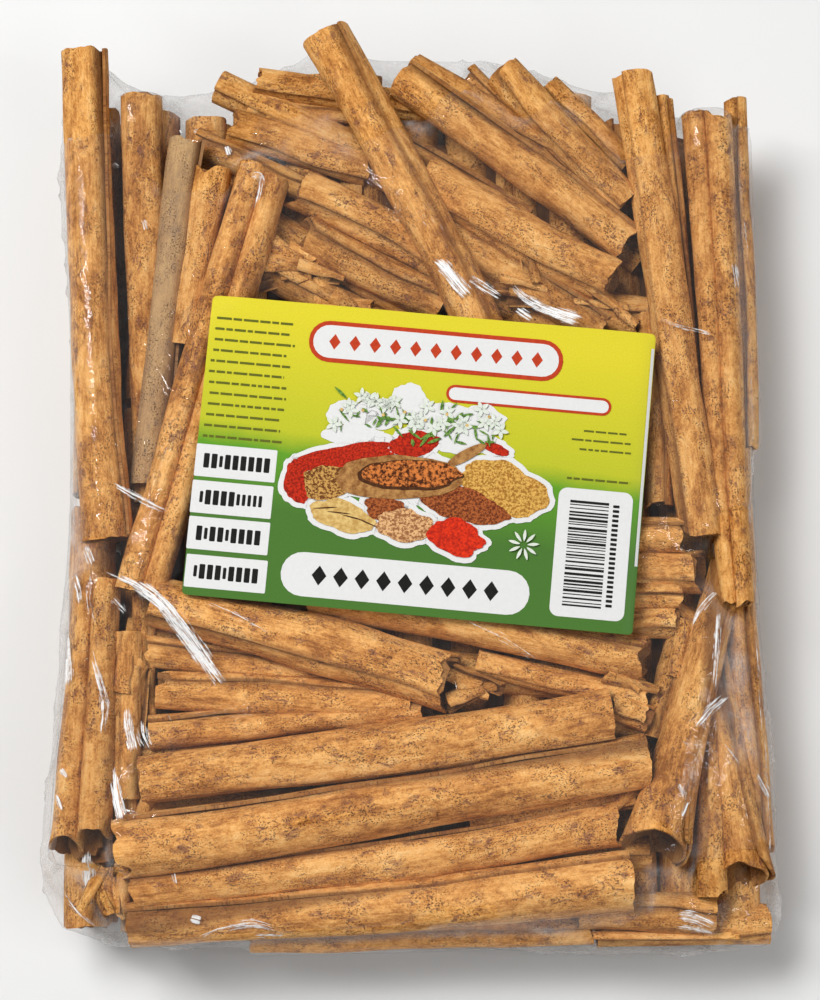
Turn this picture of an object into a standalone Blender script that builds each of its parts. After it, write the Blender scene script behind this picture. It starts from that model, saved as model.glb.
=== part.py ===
"""A sealed clear bag packed with cinnamon quills, lying on its back, with one stuck-on label.

The bag is a single closed skin: a slab the size of the filled bag, drawn in over the quills that lie
at its surface until it bridges from one to the next. The label is a thin sheet with rounded corners
that sits on the skin. Metres, +Z up, +Y towards the head of the bag, label facing up. The origin is
the middle of the bag's box, on the surface that it lies on.
"""

import math

import bmesh
import bpy
import numpy as np
from mathutils import Matrix

MM = 0.001

# The slab that the skin starts from.
CELL = 6.3 * MM
SIDE_ROWS = 7
SLAB_TOP = 57 * MM
EDGE_ROUND = 9 * MM
HALF_WIDTH = 112 * MM
HALF_LENGTH = 141 * MM
RIM_ROW = 3
FLAT_BASE_INSET = 12 * MM
EDGE_EASE = 3 * MM

# The quills below the surface, which fill the sides: two layers of rods that run from foot to head.
DEEP_RADIUS = 7.3
DEEP_LEVELS = (8.2, 24.0)
DEEP_FIRST_X = -97.0
DEEP_LAST_X = 99.0
DEEP_COLUMNS = 13
DEEP_END_MARGIN = 6.0

# How the skin is drawn in.
DRAW_STEPS = 90
REST_STEPS = 50
DRAW_DOWN = 0.45 * MM
SMOOTHING = 0.5
SKIN_GAP = 0.7 * MM
END_ROUND = 3 * MM

# The label.
LABEL_LENGTH = 134 * MM
LABEL_WIDTH = 91 * MM
LABEL_THICKNESS = 0.5 * MM
LABEL_CORNER = 4 * MM
LABEL_CENTRE = (3.2 * MM, 3.3 * MM)
LABEL_TURN = math.radians(-5.2)
LABEL_UNDERSIDE = 50.2 * MM
LABEL_GAP = 0.4 * MM

# The edge of the filled bag from above, in millimetres. The long sides give the reach in X at a
# place in Y, from foot to head; the foot and the head give the reach in Y at a place in X.
LEFT_EDGE = (
    (-132, -108), (-124, -113), (-105, -113), (-90, -111), (-70, -108), (-47, -108), (-23, -106),
    (-4, -105), (49, -106), (91, -110), (117, -111), (136, -110),
)
RIGHT_EDGE = (
    (-137, 112), (-131, 114), (-108, 112), (-90, 112), (-54, 109), (-23, 108), (2, 106), (59, 107),
    (88, 107), (110, 105), (120, 103),
)
FOOT_EDGE = (
    (-108, -132), (-99, -138), (-87, -141), (-63, -142), (-33, -140), (-3, -141), (27, -142),
    (57, -143), (81, -144), (99, -143), (112, -137),
)
HEAD_EDGE = (
    (-110, 136), (-104, 140), (-97, 139), (-93, 122), (-89, 126), (-52, 126), (-46, 134), (-35, 135),
    (-32, 141), (-29, 144), (-23, 144), (-17, 138), (9, 138), (28, 137), (47, 132), (61, 125), (67, 129),
    (77, 128), (82, 113), (91, 117), (103, 120),
)

# The quills that lie at the surface, in millimetres: one end, the other end, and the radius at each.
QUILLS = (
    ((-101, 134, 40), (-91, -19, 40), 7.1, 7.2),
    ((-84, 121, 35), (-79, -12, 34), 6.5, 6.1),
    ((-69, 106, 40), (-80, -1, 39), 5.1, 5.7),
    ((-62, 97, 41), (-69, 43, 40), 4.9, 3.7),
    ((-44, 95, 41), (-81, -34, 41), 8.4, 7.8),
    ((-93, -27, 37), (-97, -110, 38), 6.6, 8.6),
    ((-75, -39, 41), (13, -62, 41), 7.8, 8.9),
    ((-27, -34, 40), (72, -55, 40), 6.9, 6.6),
    ((-75, -63, 37), (1, -67, 37), 5.4, 5.4),
    ((-80, -90, 41), (60, -71, 41), 7.7, 8.0),
    ((-87, -109, 41), (70, -84, 41), 8.6, 6.2),
    ((-83, -122, 38), (62, -102, 38), 5.0, 6.2),
    ((-84, -132, 37), (66, -119, 40), 6.8, 8.8),
    ((-48, -134, 28), (54, -131, 28), 5.2, 5.2),
    ((54, -130, 32), (90, -130, 32), 6.4, 6.4),
    ((57, -134, 24), (108, -132, 24), 5.7, 6.0),
    ((93, -36, 41), (71, -116, 42), 6.9, 10.2),
    ((91, -67, 39), (89, -124, 38), 3.4, 3.6),
    ((96, -71, 38), (100, -120, 37), 5.1, 6.8),
    ((102, -48, 32), (107, -111, 32), 3.6, 3.6),
    ((69, 124, 42), (87, -18, 42), 6.8, 5.7),
    ((92, 113, 40), (98, -39, 40), 7.7, 4.8),
    ((101, 117, 32), (102, 19, 32), 4.1, 4.4),
    ((39, -25, 38), (89, -28, 38), 6.0, 6.6),
    ((-26, 136, 45), (20, 48, 40), 7.5, 7.9),
    ((-49, 126, 39), (3, 118, 37), 4.3, 4.6),
    ((-55, 113, 36), (-12, 100, 36), 5.3, 5.3),
    ((-36, 93, 40), (15, 66, 40), 6.5, 7.0),
    ((-34, 77, 38), (9, 55, 38), 5.8, 6.2),
    ((-2, 126, 40), (66, 74, 40), 6.2, 6.7),
    ((6, 93, 41), (63, 60, 41), 6.8, 7.0),
    ((28, 129, 38), (66, 86, 39), 5.3, 5.8),
    ((12, 77, 37), (59, 47, 38), 6.5, 6.4),
)


def clear_scene():
    """Removes whatever the scene holds."""
    for item in list(bpy.data.objects):
        bpy.data.objects.remove(item)


def plain_material(name, colour, roughness):
    """A Principled material of one colour."""
    material = bpy.data.materials.new(name)
    material.use_nodes = True
    shader = material.node_tree.nodes["Principled BSDF"]
    shader.inputs["Base Color"].default_value = (*colour, 1.0)
    shader.inputs["Roughness"].default_value = roughness
    shader.inputs["Metallic"].default_value = 0.0
    return material


def place_object(name, bm, material):
    """Turns a bmesh into a smooth-shaded object of its own."""
    bmesh.ops.recalc_face_normals(bm, faces=bm.faces[:])
    mesh = bpy.data.meshes.new(name)
    bm.to_mesh(mesh)
    bm.free()
    mesh.materials.append(material)
    mesh.shade_smooth()
    mesh.set_sharp_from_angle(angle=math.radians(40))
    item = bpy.data.objects.new(name, mesh)
    bpy.context.scene.collection.objects.link(item)
    return item


def along_edge(edge, share):
    """Points along one side's edge, for shares of its length from 0 to 1, in metres. The edge's
    corners are eased by averaging over a short stretch either side."""
    places, reaches = np.array(edge, float).T * MM
    place = places[0] + share * (places[-1] - places[0])
    near = [np.interp(place + shift, places, reaches) for shift in (-EDGE_EASE, 0, EDGE_EASE)]
    return place, np.mean(near, axis=0)


def deep_quills():
    """The two lower layers, each rod as long as the bag is at its column."""
    rods = []
    foot_places, foot_reaches = zip(*FOOT_EDGE)
    head_places, head_reaches = zip(*HEAD_EDGE)
    for level in DEEP_LEVELS:
        for x in np.linspace(DEEP_FIRST_X, DEEP_LAST_X, DEEP_COLUMNS):
            foot = np.interp(x, foot_places, foot_reaches) + DEEP_END_MARGIN
            head = np.interp(x, head_places, head_reaches) - DEEP_END_MARGIN
            rods.append(((x, foot, level), (x, head, level), DEEP_RADIUS, DEEP_RADIUS))
    return rods


def inside_edges(across, along):
    """The place in the bag's plan of shares across (left to right) and along (foot to head).

    The four edges are blended as a Coons patch: the two that run across plus the two that run along,
    less the patch between the four corners.
    """
    foot = np.stack(along_edge(FOOT_EDGE, across), -1)
    head = np.stack(along_edge(HEAD_EDGE, across), -1)
    left = np.stack(along_edge(LEFT_EDGE, along)[::-1], -1)
    right = np.stack(along_edge(RIGHT_EDGE, along)[::-1], -1)
    foot_left, foot_right = (np.array(FOOT_EDGE[end], float) * MM for end in (0, -1))
    head_left, head_right = (np.array(HEAD_EDGE[end], float) * MM for end in (0, -1))
    u = across[:, None]
    v = along[:, None]
    corners = (1 - v) * ((1 - u) * foot_left + u * foot_right)
    corners = corners + v * ((1 - u) * head_left + u * head_right)
    return (1 - v) * foot + v * head + (1 - u) * left + u * right - corners


def slab():
    """A closed slab of even cells: its flat faces, and side rows, on a unit cube from -1 to 1."""
    bm = bmesh.new()
    columns = round(2 * HALF_WIDTH / CELL)
    rows = round(2 * HALF_LENGTH / CELL)
    bmesh.ops.create_grid(bm, x_segments=columns, y_segments=rows, size=1.0)
    bmesh.ops.translate(bm, vec=(0, 0, -1), verts=bm.verts[:])
    lifted = bmesh.ops.extrude_face_region(bm, geom=bm.faces[:])["geom"]
    upper = [part for part in lifted if isinstance(part, bmesh.types.BMVert)]
    bmesh.ops.translate(bm, vec=(0, 0, 2), verts=upper)
    uprights = [e for e in bm.edges if abs(e.verts[0].co.z - e.verts[1].co.z) > 1]
    bmesh.ops.subdivide_edges(bm, edges=uprights, cuts=SIDE_ROWS - 1, use_grid_fill=True)
    return bm


def filled_shape(unit):
    """The start of the skin: the unit cube's points moved to the bag's outline and full height."""
    level = unit[:, 2]
    inset = EDGE_ROUND * (1 - np.sqrt(np.clip(1 - level ** 2, 0, 1)))
    across = 0.5 + 0.5 * unit[:, 0] * (1 - inset / HALF_WIDTH)
    along = 0.5 + 0.5 * unit[:, 1] * (1 - inset / HALF_LENGTH)
    plan = inside_edges(across, along)
    height = SLAB_TOP * 0.5 * (1 + level)
    return np.column_stack([plan, height])


def push_out(points, quill):
    """Moves every point that is in a quill, or nearer to it than the gap, straight out of it.

    A quill is a tapered rod with rounded ends. Its distance is measured in two parts, out from the
    axis and past the nearer end.
    """
    start, end, start_radius, end_radius = quill
    start = np.array(start, float) * MM
    axis = np.array(end, float) * MM - start
    length = np.linalg.norm(axis)
    axis = axis / length
    offset = points - start
    run = offset @ axis
    outward = offset - run[:, None] * axis
    reach = np.linalg.norm(outward, axis=1) + 1e-9
    outward = outward / reach[:, None]
    radius = MM * (start_radius + (end_radius - start_radius) * np.clip(run / length, 0, 1))
    past_side = reach - (radius - END_ROUND)
    past_end = np.abs(run - length / 2) - (length / 2 - END_ROUND)
    endward = np.sign(run - length / 2)[:, None] * axis
    corner = np.hypot(np.maximum(past_side, 0), np.maximum(past_end, 0))
    distance = np.minimum(np.maximum(past_side, past_end), 0) + corner - END_ROUND
    side_share = np.where(past_side > past_end, 1.0, 0.0)
    both = (past_side > 0) & (past_end > 0)
    side_share = np.where(both, past_side / (corner + 1e-9), side_share)
    end_share = np.where(both, past_end / (corner + 1e-9), 1.0 - side_share)
    way = side_share[:, None] * outward + end_share[:, None] * endward
    return points + np.maximum(SKIN_GAP - distance, 0)[:, None] * way


def under_label(points, margin):
    """Which points lie within the label's plan, grown by a margin."""
    offset = points[:, :2] - np.array(LABEL_CENTRE)
    turn = np.array(
        [
            [math.cos(LABEL_TURN), math.sin(LABEL_TURN)],
            [-math.sin(LABEL_TURN), math.cos(LABEL_TURN)],
        ]
    )
    local = np.abs(offset @ turn.T)
    return (local[:, 0] < LABEL_LENGTH / 2 + margin) & (local[:, 1] < LABEL_WIDTH / 2 + margin)


def draw_in(points, edges, unit):
    """Draws the skin over the quills: the upper face sinks and every free point evens out, step by
    step, while the quills, the label, the flat base and the rim hold it."""
    rim_level = -1 + 2 * RIM_ROW / SIDE_ROWS
    on_rim = np.abs(unit[:, 2] - rim_level) < 0.01
    edge_reach = np.abs(unit[:, :2]) * np.array([HALF_WIDTH, HALF_LENGTH])
    deep = (edge_reach < np.array([HALF_WIDTH, HALF_LENGTH]) - FLAT_BASE_INSET).all(axis=1)
    on_base = deep & (unit[:, 2] < -0.99)
    held = on_rim | on_base
    first = points.copy()
    first[on_base, 2] = 0.0
    sinks = unit[:, 2] > 0.99
    degree = np.bincount(edges.ravel(), minlength=len(points))[:, None]
    skin_ceiling = LABEL_UNDERSIDE - LABEL_GAP
    quills = [*deep_quills(), *QUILLS]
    for step in range(DRAW_STEPS + REST_STEPS):
        total = np.zeros_like(points)
        np.add.at(total, edges[:, 0], points[edges[:, 1]])
        np.add.at(total, edges[:, 1], points[edges[:, 0]])
        points = points + SMOOTHING * (total / degree - points)
        if step < DRAW_STEPS:
            points[sinks, 2] -= DRAW_DOWN
        for quill in quills:
            points = push_out(points, quill)
        stuck = under_label(points, 3 * MM) & sinks
        points[stuck, 2] = skin_ceiling
        points[:, 2] = np.maximum(points[:, 2], 0.0)
        points[held] = first[held]
    return points


def make_bag():
    """The bag's skin as one closed body, centred on its own box."""
    bm = slab()
    bm.verts.ensure_lookup_table()
    unit = np.array([v.co for v in bm.verts])
    edges = np.array([[v.index for v in e.verts] for e in bm.edges])
    points = draw_in(filled_shape(unit), edges, unit)
    middle = (points.min(axis=0) + points.max(axis=0)) / 2
    points[:, :2] -= middle[:2]
    for vertex, point in zip(bm.verts, points):
        vertex.co = point
    base = [f for f in bm.faces if max(v.co.z for v in f.verts) < 1e-6]
    base_edges = list({e for f in base for e in f.edges})
    base_verts = list({v for f in base for v in f.verts})
    bmesh.ops.dissolve_limit(
        bm, angle_limit=math.radians(0.2), verts=base_verts, edges=base_edges
    )
    return place_object("bag", bm, plain_material("bag_film", (0.52, 0.27, 0.09), 0.35))


def make_label():
    """The label as a thin sheet with rounded corners, laid on the skin."""
    bm = bmesh.new()
    bmesh.ops.create_grid(bm, x_segments=1, y_segments=1, size=0.5)
    bmesh.ops.scale(bm, vec=(LABEL_LENGTH, LABEL_WIDTH, 1), verts=bm.verts[:])
    bmesh.ops.bevel(
        bm, geom=bm.verts[:], offset=LABEL_CORNER, offset_type="OFFSET", segments=5,
        profile=0.5, affect="VERTICES", material=-1,
    )
    lifted = bmesh.ops.extrude_face_region(bm, geom=bm.faces[:])["geom"]
    upper = [part for part in lifted if isinstance(part, bmesh.types.BMVert)]
    bmesh.ops.translate(bm, vec=(0, 0, LABEL_THICKNESS), verts=upper)
    place = Matrix.Translation((*LABEL_CENTRE, LABEL_UNDERSIDE)) @ Matrix.Rotation(LABEL_TURN, 4, "Z")
    item = place_object("label", bm, plain_material("label_paper", (0.42, 0.48, 0.02), 0.3))
    item.matrix_world = place
    return item


clear_scene()
make_bag()
make_label()
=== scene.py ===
"""Looks of a sealed clear bag packed with cinnamon quills, with a printed label across its face.

Every quill is a sheet of bark that is really rolled up, with its seam, torn ends and wall. They lie
over a smaller dark core, a block of painted shade, under a film that is drawn over them, and the
label lies on the film.
Some quills come through the film, mostly at their ends: see FilmSkin.
Places in the lists are millimetres from the middle of the solid bag's underside; meshes are in metres.
"""

import logging
import math
from dataclasses import dataclass, field, replace
from enum import Enum

import bmesh
import bpy
import numpy as np
from mathutils import Matrix, Vector
from mathutils.bvhtree import BVHTree


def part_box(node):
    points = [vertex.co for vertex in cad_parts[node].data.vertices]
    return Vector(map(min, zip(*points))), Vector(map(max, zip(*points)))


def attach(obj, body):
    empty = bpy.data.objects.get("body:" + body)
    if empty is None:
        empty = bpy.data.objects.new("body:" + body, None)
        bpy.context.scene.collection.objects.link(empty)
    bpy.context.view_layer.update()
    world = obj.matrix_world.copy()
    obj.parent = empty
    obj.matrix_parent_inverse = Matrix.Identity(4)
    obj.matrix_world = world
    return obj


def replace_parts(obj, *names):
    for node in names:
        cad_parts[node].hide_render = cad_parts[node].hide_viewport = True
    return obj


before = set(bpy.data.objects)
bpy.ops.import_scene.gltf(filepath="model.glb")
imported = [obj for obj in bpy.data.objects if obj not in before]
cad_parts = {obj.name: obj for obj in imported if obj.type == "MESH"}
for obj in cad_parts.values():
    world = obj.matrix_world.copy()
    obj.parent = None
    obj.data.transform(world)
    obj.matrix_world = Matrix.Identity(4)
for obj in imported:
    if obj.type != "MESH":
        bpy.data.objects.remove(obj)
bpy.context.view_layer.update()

logging.basicConfig(level=logging.INFO, format="%(message)s")
log = logging.getLogger("cinnamon_bag")

MM = 0.001
BAG_LOW, BAG_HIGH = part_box("bag")
# The middle of the solid bag's underside, which every place in the lists is measured from.
BAG_FOOT = np.array([(BAG_LOW.x + BAG_HIGH.x) / 2, (BAG_LOW.y + BAG_HIGH.y) / 2, BAG_LOW.z])
Colour = tuple[float, float, float]
Point = tuple[float, float, float]
Place = tuple[float, float]


# ---------------------------------------------------------------- helpers


def in_metres(places: object) -> np.ndarray:
    """Turns places in the lists into places in the frame.

    Args:
        places: One place or several, in millimetres from the middle of the bag's underside.

    Returns:
        The same in metres.
    """
    return BAG_FOOT + np.array(places) * MM


def smooth_noise(u: np.ndarray, v: np.ndarray, seed: int) -> np.ndarray:
    """Smooth noise from a random lattice.

    Args:
        u: First coordinate, in lattice steps.
        v: Second coordinate, in lattice steps.
        seed: Which lattice.

    Returns:
        Values from about -1 to 1, of the shape that u and v broadcast to.
    """
    size = 64
    lattice = np.random.default_rng(seed).uniform(-1, 1, (size, size))
    u, v = np.broadcast_arrays(np.asarray(u, float), np.asarray(v, float))
    iu = np.floor(u).astype(int)
    iv = np.floor(v).astype(int)
    fu = u - iu
    fv = v - iv
    fu = fu * fu * (3 - 2 * fu)
    fv = fv * fv * (3 - 2 * fv)
    a = lattice[iu % size, iv % size]
    b = lattice[(iu + 1) % size, iv % size]
    c = lattice[iu % size, (iv + 1) % size]
    d = lattice[(iu + 1) % size, (iv + 1) % size]
    return (a * (1 - fu) + b * fu) * (1 - fv) + (c * (1 - fu) + d * fu) * fv


def finish_mesh(
    name: str, bm: bmesh.types.BMesh, material: bpy.types.Material, crease_angle: float = 50.0
) -> bpy.types.Object:
    """Turns a bmesh into a smooth-shaded piece at the origin.

    Args:
        name: The piece's name.
        bm: Its shape, in place; freed here.
        material: Its finish.
        crease_angle: From what angle an edge stays sharp, in degrees.

    Returns:
        The new object.
    """
    mesh = bpy.data.meshes.new(name)
    bm.to_mesh(mesh)
    bm.free()
    mesh.materials.append(material)
    mesh.shade_smooth()
    mesh.set_sharp_from_angle(angle=math.radians(crease_angle))
    piece = bpy.data.objects.new(name, mesh)
    bpy.context.scene.collection.objects.link(piece)
    return piece


def keep(piece: bpy.types.Object) -> bpy.types.Object:
    """Lets a finished piece ride on the pack and logs it.

    Args:
        piece: The piece.

    Returns:
        The same piece.
    """
    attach(piece, "root")
    low, high = (np.array(piece.bound_box).min(axis=0), np.array(piece.bound_box).max(axis=0))
    size = (high - low) / MM
    log.info(
        "%-22s %7d faces  %5.0f x %5.0f x %4.0f mm",
        piece.name, len(piece.data.polygons), size[0], size[1], size[2],
    )
    return piece


class Nodes:
    """A small hand for building a node tree: adds nodes, sets their sockets and links them."""

    def __init__(self, tree: bpy.types.NodeTree) -> None:
        """Keeps the tree.

        Args:
            tree: The tree to build in.
        """
        self.tree = tree

    def add(self, kind: str, inputs: dict | None = None, **settings: object) -> bpy.types.Node:
        """Adds one node.

        Args:
            kind: The node's type.
            inputs: Socket name or number to a value or to the output socket that feeds it.
            settings: The node's own settings.

        Returns:
            The node.
        """
        node = self.tree.nodes.new(kind)
        for name, value in settings.items():
            setattr(node, name, value)
        for socket, value in (inputs or {}).items():
            if isinstance(value, bpy.types.NodeSocket):
                self.tree.links.new(value, node.inputs[socket])
            else:
                node.inputs[socket].default_value = value
        return node

    def maths(
        self, operation: str, first: object, second: object = 0.0, third: object = 0.0
    ) -> bpy.types.NodeSocket:
        """A Math node's value.

        Args:
            operation: The operation's name.
            first: The first value or socket.
            second: The second value or socket.
            third: The third value or socket.

        Returns:
            The output socket.
        """
        values = {0: first, 1: second, 2: third}
        return self.add("ShaderNodeMath", values, operation=operation).outputs[0]

    def stretch(self, vector: bpy.types.NodeSocket, by: Point) -> bpy.types.NodeSocket:
        """A vector multiplied part by part.

        Args:
            vector: The vector's socket.
            by: The three factors.

        Returns:
            The output socket.
        """
        node = self.add("ShaderNodeVectorMath", {0: vector, 1: by}, operation="MULTIPLY")
        return node.outputs[0]

    def noise(
        self, vector: bpy.types.NodeSocket, detail: float = 3.0, roughness: float = 0.55,
        distortion: float = 0.0,
    ) -> bpy.types.NodeSocket:
        """Noise one step wide, read at a stretched vector.

        Args:
            vector: Where it is read.
            detail: How many finer layers it has.
            roughness: How strong those are.
            distortion: How far it is warped.

        Returns:
            The value, around 0.5.
        """
        node = self.add(
            "ShaderNodeTexNoise",
            {
                "Vector": vector, "Scale": 1.0, "Detail": detail, "Roughness": roughness,
                "Distortion": distortion,
            },
        )
        return node.outputs["Fac"]

    def band(
        self, value: bpy.types.NodeSocket, low: float, high: float, out: Place = (0.0, 1.0)
    ) -> bpy.types.NodeSocket:
        """A value stretched smoothly between two levels.

        Args:
            value: The value's socket.
            low: Where it starts to rise.
            high: Where it stops.
            out: What it is at each.

        Returns:
            The output socket.
        """
        node = self.add(
            "ShaderNodeMapRange",
            {"Value": value, "From Min": low, "From Max": high, "To Min": out[0], "To Max": out[1]},
            interpolation_type="SMOOTHSTEP",
        )
        return node.outputs["Result"]

    def ramp(
        self, value: bpy.types.NodeSocket, stops: list[tuple[float, Colour]]
    ) -> bpy.types.NodeSocket:
        """A colour ramp.

        Args:
            value: The value that it is read at.
            stops: Places and colours.

        Returns:
            The colour's socket.
        """
        node = self.add("ShaderNodeValToRGB", {"Fac": value})
        elements = node.color_ramp.elements
        while len(elements) < len(stops):
            elements.new(0.5)
        for element, (place, colour) in zip(elements, stops):
            element.position = place
            element.color = (*colour, 1.0)
        return node.outputs["Color"]

    def mix(self, share: object, first: object, second: object) -> bpy.types.NodeSocket:
        """A mix of two colours.

        Args:
            share: How much of the second.
            first: The first colour or socket.
            second: The second colour or socket.

        Returns:
            The colour's socket.
        """
        values = {0: share, 6: first, 7: second}
        for key in (6, 7):
            if isinstance(values[key], tuple):
                values[key] = (*values[key], 1.0)
        node = self.add("ShaderNodeMix", values, data_type="RGBA")
        return node.outputs[2]


def new_material(name: str) -> tuple[bpy.types.Material, Nodes, bpy.types.Node]:
    """A material with only its Principled shader.

    Args:
        name: The material's name.

    Returns:
        The material, the hand for its tree, and the shader.
    """
    material = bpy.data.materials.new(name)
    material.use_nodes = True
    tree = material.node_tree
    return material, Nodes(tree), tree.nodes["Principled BSDF"]


def new_group(
    name: str, inputs: list[tuple[str, str]], outputs: list[tuple[str, str]]
) -> tuple[bpy.types.NodeTree, Nodes, bpy.types.Node, bpy.types.Node]:
    """An empty shader node group.

    Args:
        name: The group's name.
        inputs: Each input's name and socket type.
        outputs: Each output's name and socket type.

    Returns:
        The group, the hand for its tree, and its input and output nodes.
    """
    group = bpy.data.node_groups.new(name, "ShaderNodeTree")
    for in_out, sockets in (("INPUT", inputs), ("OUTPUT", outputs)):
        for label, kind in sockets:
            group.interface.new_socket(name=label, in_out=in_out, socket_type=kind)
    hand = Nodes(group)
    return group, hand, hand.add("NodeGroupInput"), hand.add("NodeGroupOutput")


# ---------------------------------------------------------------- finishes


def bark_grain_group() -> bpy.types.NodeTree:
    """The grain of rolled bark: lengthwise fibres, blotches, specks and short cross cracks.

    Returns:
        The node group. Its Grain input is the place on the sheet in millimetres, across and along.
    """
    values = ("Fibre", "Blotch", "Specks", "Stain", "Height")
    group, n, inside, outside = new_group(
        "bark grain", [("Grain", "NodeSocketVector")], [(name, "NodeSocketFloat") for name in values]
    )
    grain = inside.outputs["Grain"]
    streaks = n.noise(n.stretch(grain, (1.3, 0.10, 1.0)), 3.0, 0.62, 0.5)
    mottle = n.noise(n.stretch(grain, (0.50, 0.27, 1.3)), 3.0, 0.66, 0.6)
    sand = n.noise(n.stretch(grain, (2.2, 1.4, 1.0)), 2.0, 0.7)
    fibre = n.maths("MULTIPLY_ADD", streaks, 0.30, n.maths("MULTIPLY", mottle, 0.42))
    fibre = n.maths("MULTIPLY_ADD", sand, 0.28, fibre)
    blotch = n.noise(n.stretch(grain, (0.11, 0.05, 1.0)), 3.0, 0.6, 0.5)
    crowd = n.band(n.noise(n.stretch(grain, (0.16, 0.09, 1.7)), 3.0, 0.6), 0.42, 0.60)
    dots = n.band(n.noise(n.stretch(grain, (2.3, 1.7, 1.0)), 1.0, 0.6), 0.575, 0.68)
    dashes = n.band(n.noise(n.stretch(grain, (2.0, 0.45, 4.1)), 2.0, 0.6), 0.64, 0.74)
    rings = n.band(n.noise(n.stretch(grain, (0.34, 1.9, 3.1)), 3.0, 0.65, 0.6), 0.66, 0.75)
    specks = n.maths("MULTIPLY", dots, n.maths("MULTIPLY_ADD", crowd, 0.85, 0.15))
    marks = n.maths("MAXIMUM", n.maths("MULTIPLY", rings, 0.6), n.maths("MULTIPLY", dashes, 0.8))
    specks = n.maths("MAXIMUM", specks, n.maths("MULTIPLY", marks, n.maths("ADD", crowd, 0.25)))
    stain = n.noise(n.stretch(grain, (0.42, 0.19, 2.3)), 4.0, 0.72, 0.8)
    stain = n.maths("MULTIPLY", n.band(stain, 0.51, 0.64), n.maths("ADD", crowd, 0.15))
    height = n.maths("SUBTRACT", fibre, n.maths("MULTIPLY", specks, 0.40))
    for name, socket in zip(values, (fibre, blotch, specks, stain, height)):
        n.tree.links.new(socket, outside.inputs[name])
    return group


@dataclass(frozen=True)
class BarkFinish:
    """Dry rolled bark: warm tan with dark specks, darker in the roll, partly its own darker inner face
    and partly painted shade in the hollow.
    """

    deep: Colour = (0.29, 0.102, 0.023)
    mid: Colour = (0.58, 0.250, 0.062)
    pale: Colour = (0.80, 0.405, 0.120)
    bright: Colour = (0.92, 0.555, 0.215)
    speck: Colour = (0.095, 0.036, 0.016)
    stain: Colour = (0.22, 0.085, 0.052)
    inner_and_hollow_shade: Colour = (0.20, 0.080, 0.028)
    grey: Colour = (0.36, 0.285, 0.18)
    relief: float = 0.6 * MM

    def build(self, name: str, grain: bpy.types.NodeTree) -> bpy.types.Material:
        """Makes the material. It reads the sheet's own place and tone attributes.

        Args:
            name: The material's name.
            grain: The shared grain group.

        Returns:
            The material.
        """
        material, n, shader = new_material(name)
        place = n.add("ShaderNodeAttribute", attribute_name="grain")
        tone = n.add("ShaderNodeAttribute", attribute_name="tone")
        split = n.add("ShaderNodeSeparateXYZ", {0: tone.outputs["Vector"]})
        marks = n.add("ShaderNodeGroup", node_tree=grain)
        n.tree.links.new(place.outputs["Vector"], marks.inputs["Grain"])
        shade = n.maths("MULTIPLY", marks.outputs["Fibre"], 0.62)
        shade = n.maths("ADD", shade, n.maths("MULTIPLY", marks.outputs["Blotch"], 0.38))
        base = n.ramp(
            shade, [(0.39, self.deep), (0.47, self.mid), (0.54, self.pale), (0.63, self.bright)]
        )
        base = n.mix(n.maths("MULTIPLY", marks.outputs["Stain"], 0.68), base, self.stain)
        base = n.mix(n.maths("MULTIPLY", split.outputs["Y"], 0.8), base, self.grey)
        # The tone scales the whole quill: its own tone, painted shade on low quills and painted light on
        # paler bundles.
        light = n.band(split.outputs["X"], -1.0, 1.0, (0.78, 1.20))
        lit = n.add("ShaderNodeVectorMath", {0: base, 3: light}, operation="SCALE").outputs[0]
        specked = n.mix(n.maths("MULTIPLY", marks.outputs["Specks"], 0.78), lit, self.speck)
        # Darker in the roll: the inner face's own colour, with painted shade in the hollow and along the
        # seam's edge.
        rolled = n.mix(n.maths("MULTIPLY", split.outputs["Z"], 0.75), specked, self.inner_and_hollow_shade)
        n.tree.links.new(rolled, shader.inputs["Base Color"])
        rough = n.band(marks.outputs["Fibre"], 0.3, 0.7, (0.88, 0.70))
        n.tree.links.new(rough, shader.inputs["Roughness"])
        shader.inputs["Specular IOR Level"].default_value = 0.28
        bump = n.add(
            "ShaderNodeBump",
            {"Height": marks.outputs["Height"], "Strength": 1.0, "Distance": self.relief},
        )
        n.tree.links.new(bump.outputs["Normal"], shader.inputs["Normal"])
        return material


@dataclass(frozen=True)
class PaintedShadeCoreFinish:
    """Painted shade deep in the bag: near-black bark colour, seen only between quills."""

    dark: Colour = (0.055, 0.020, 0.008)
    warm: Colour = (0.20, 0.085, 0.030)

    def build(self) -> bpy.types.Material:
        """Makes the material.

        Returns:
            The material.
        """
        material, n, shader = new_material("core_painted_shade")
        place = n.add("ShaderNodeTexCoord").outputs["Object"]
        # Painted shade: near-black to dark brown, darker than the bark that lies this deep.
        value = n.noise(n.stretch(place, (160.0, 60.0, 160.0)), 5.0, 0.65)
        n.tree.links.new(n.ramp(value, [(0.35, self.dark), (0.7, self.warm)]), shader.inputs[0])
        shader.inputs["Roughness"].default_value = 0.9
        return material


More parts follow.
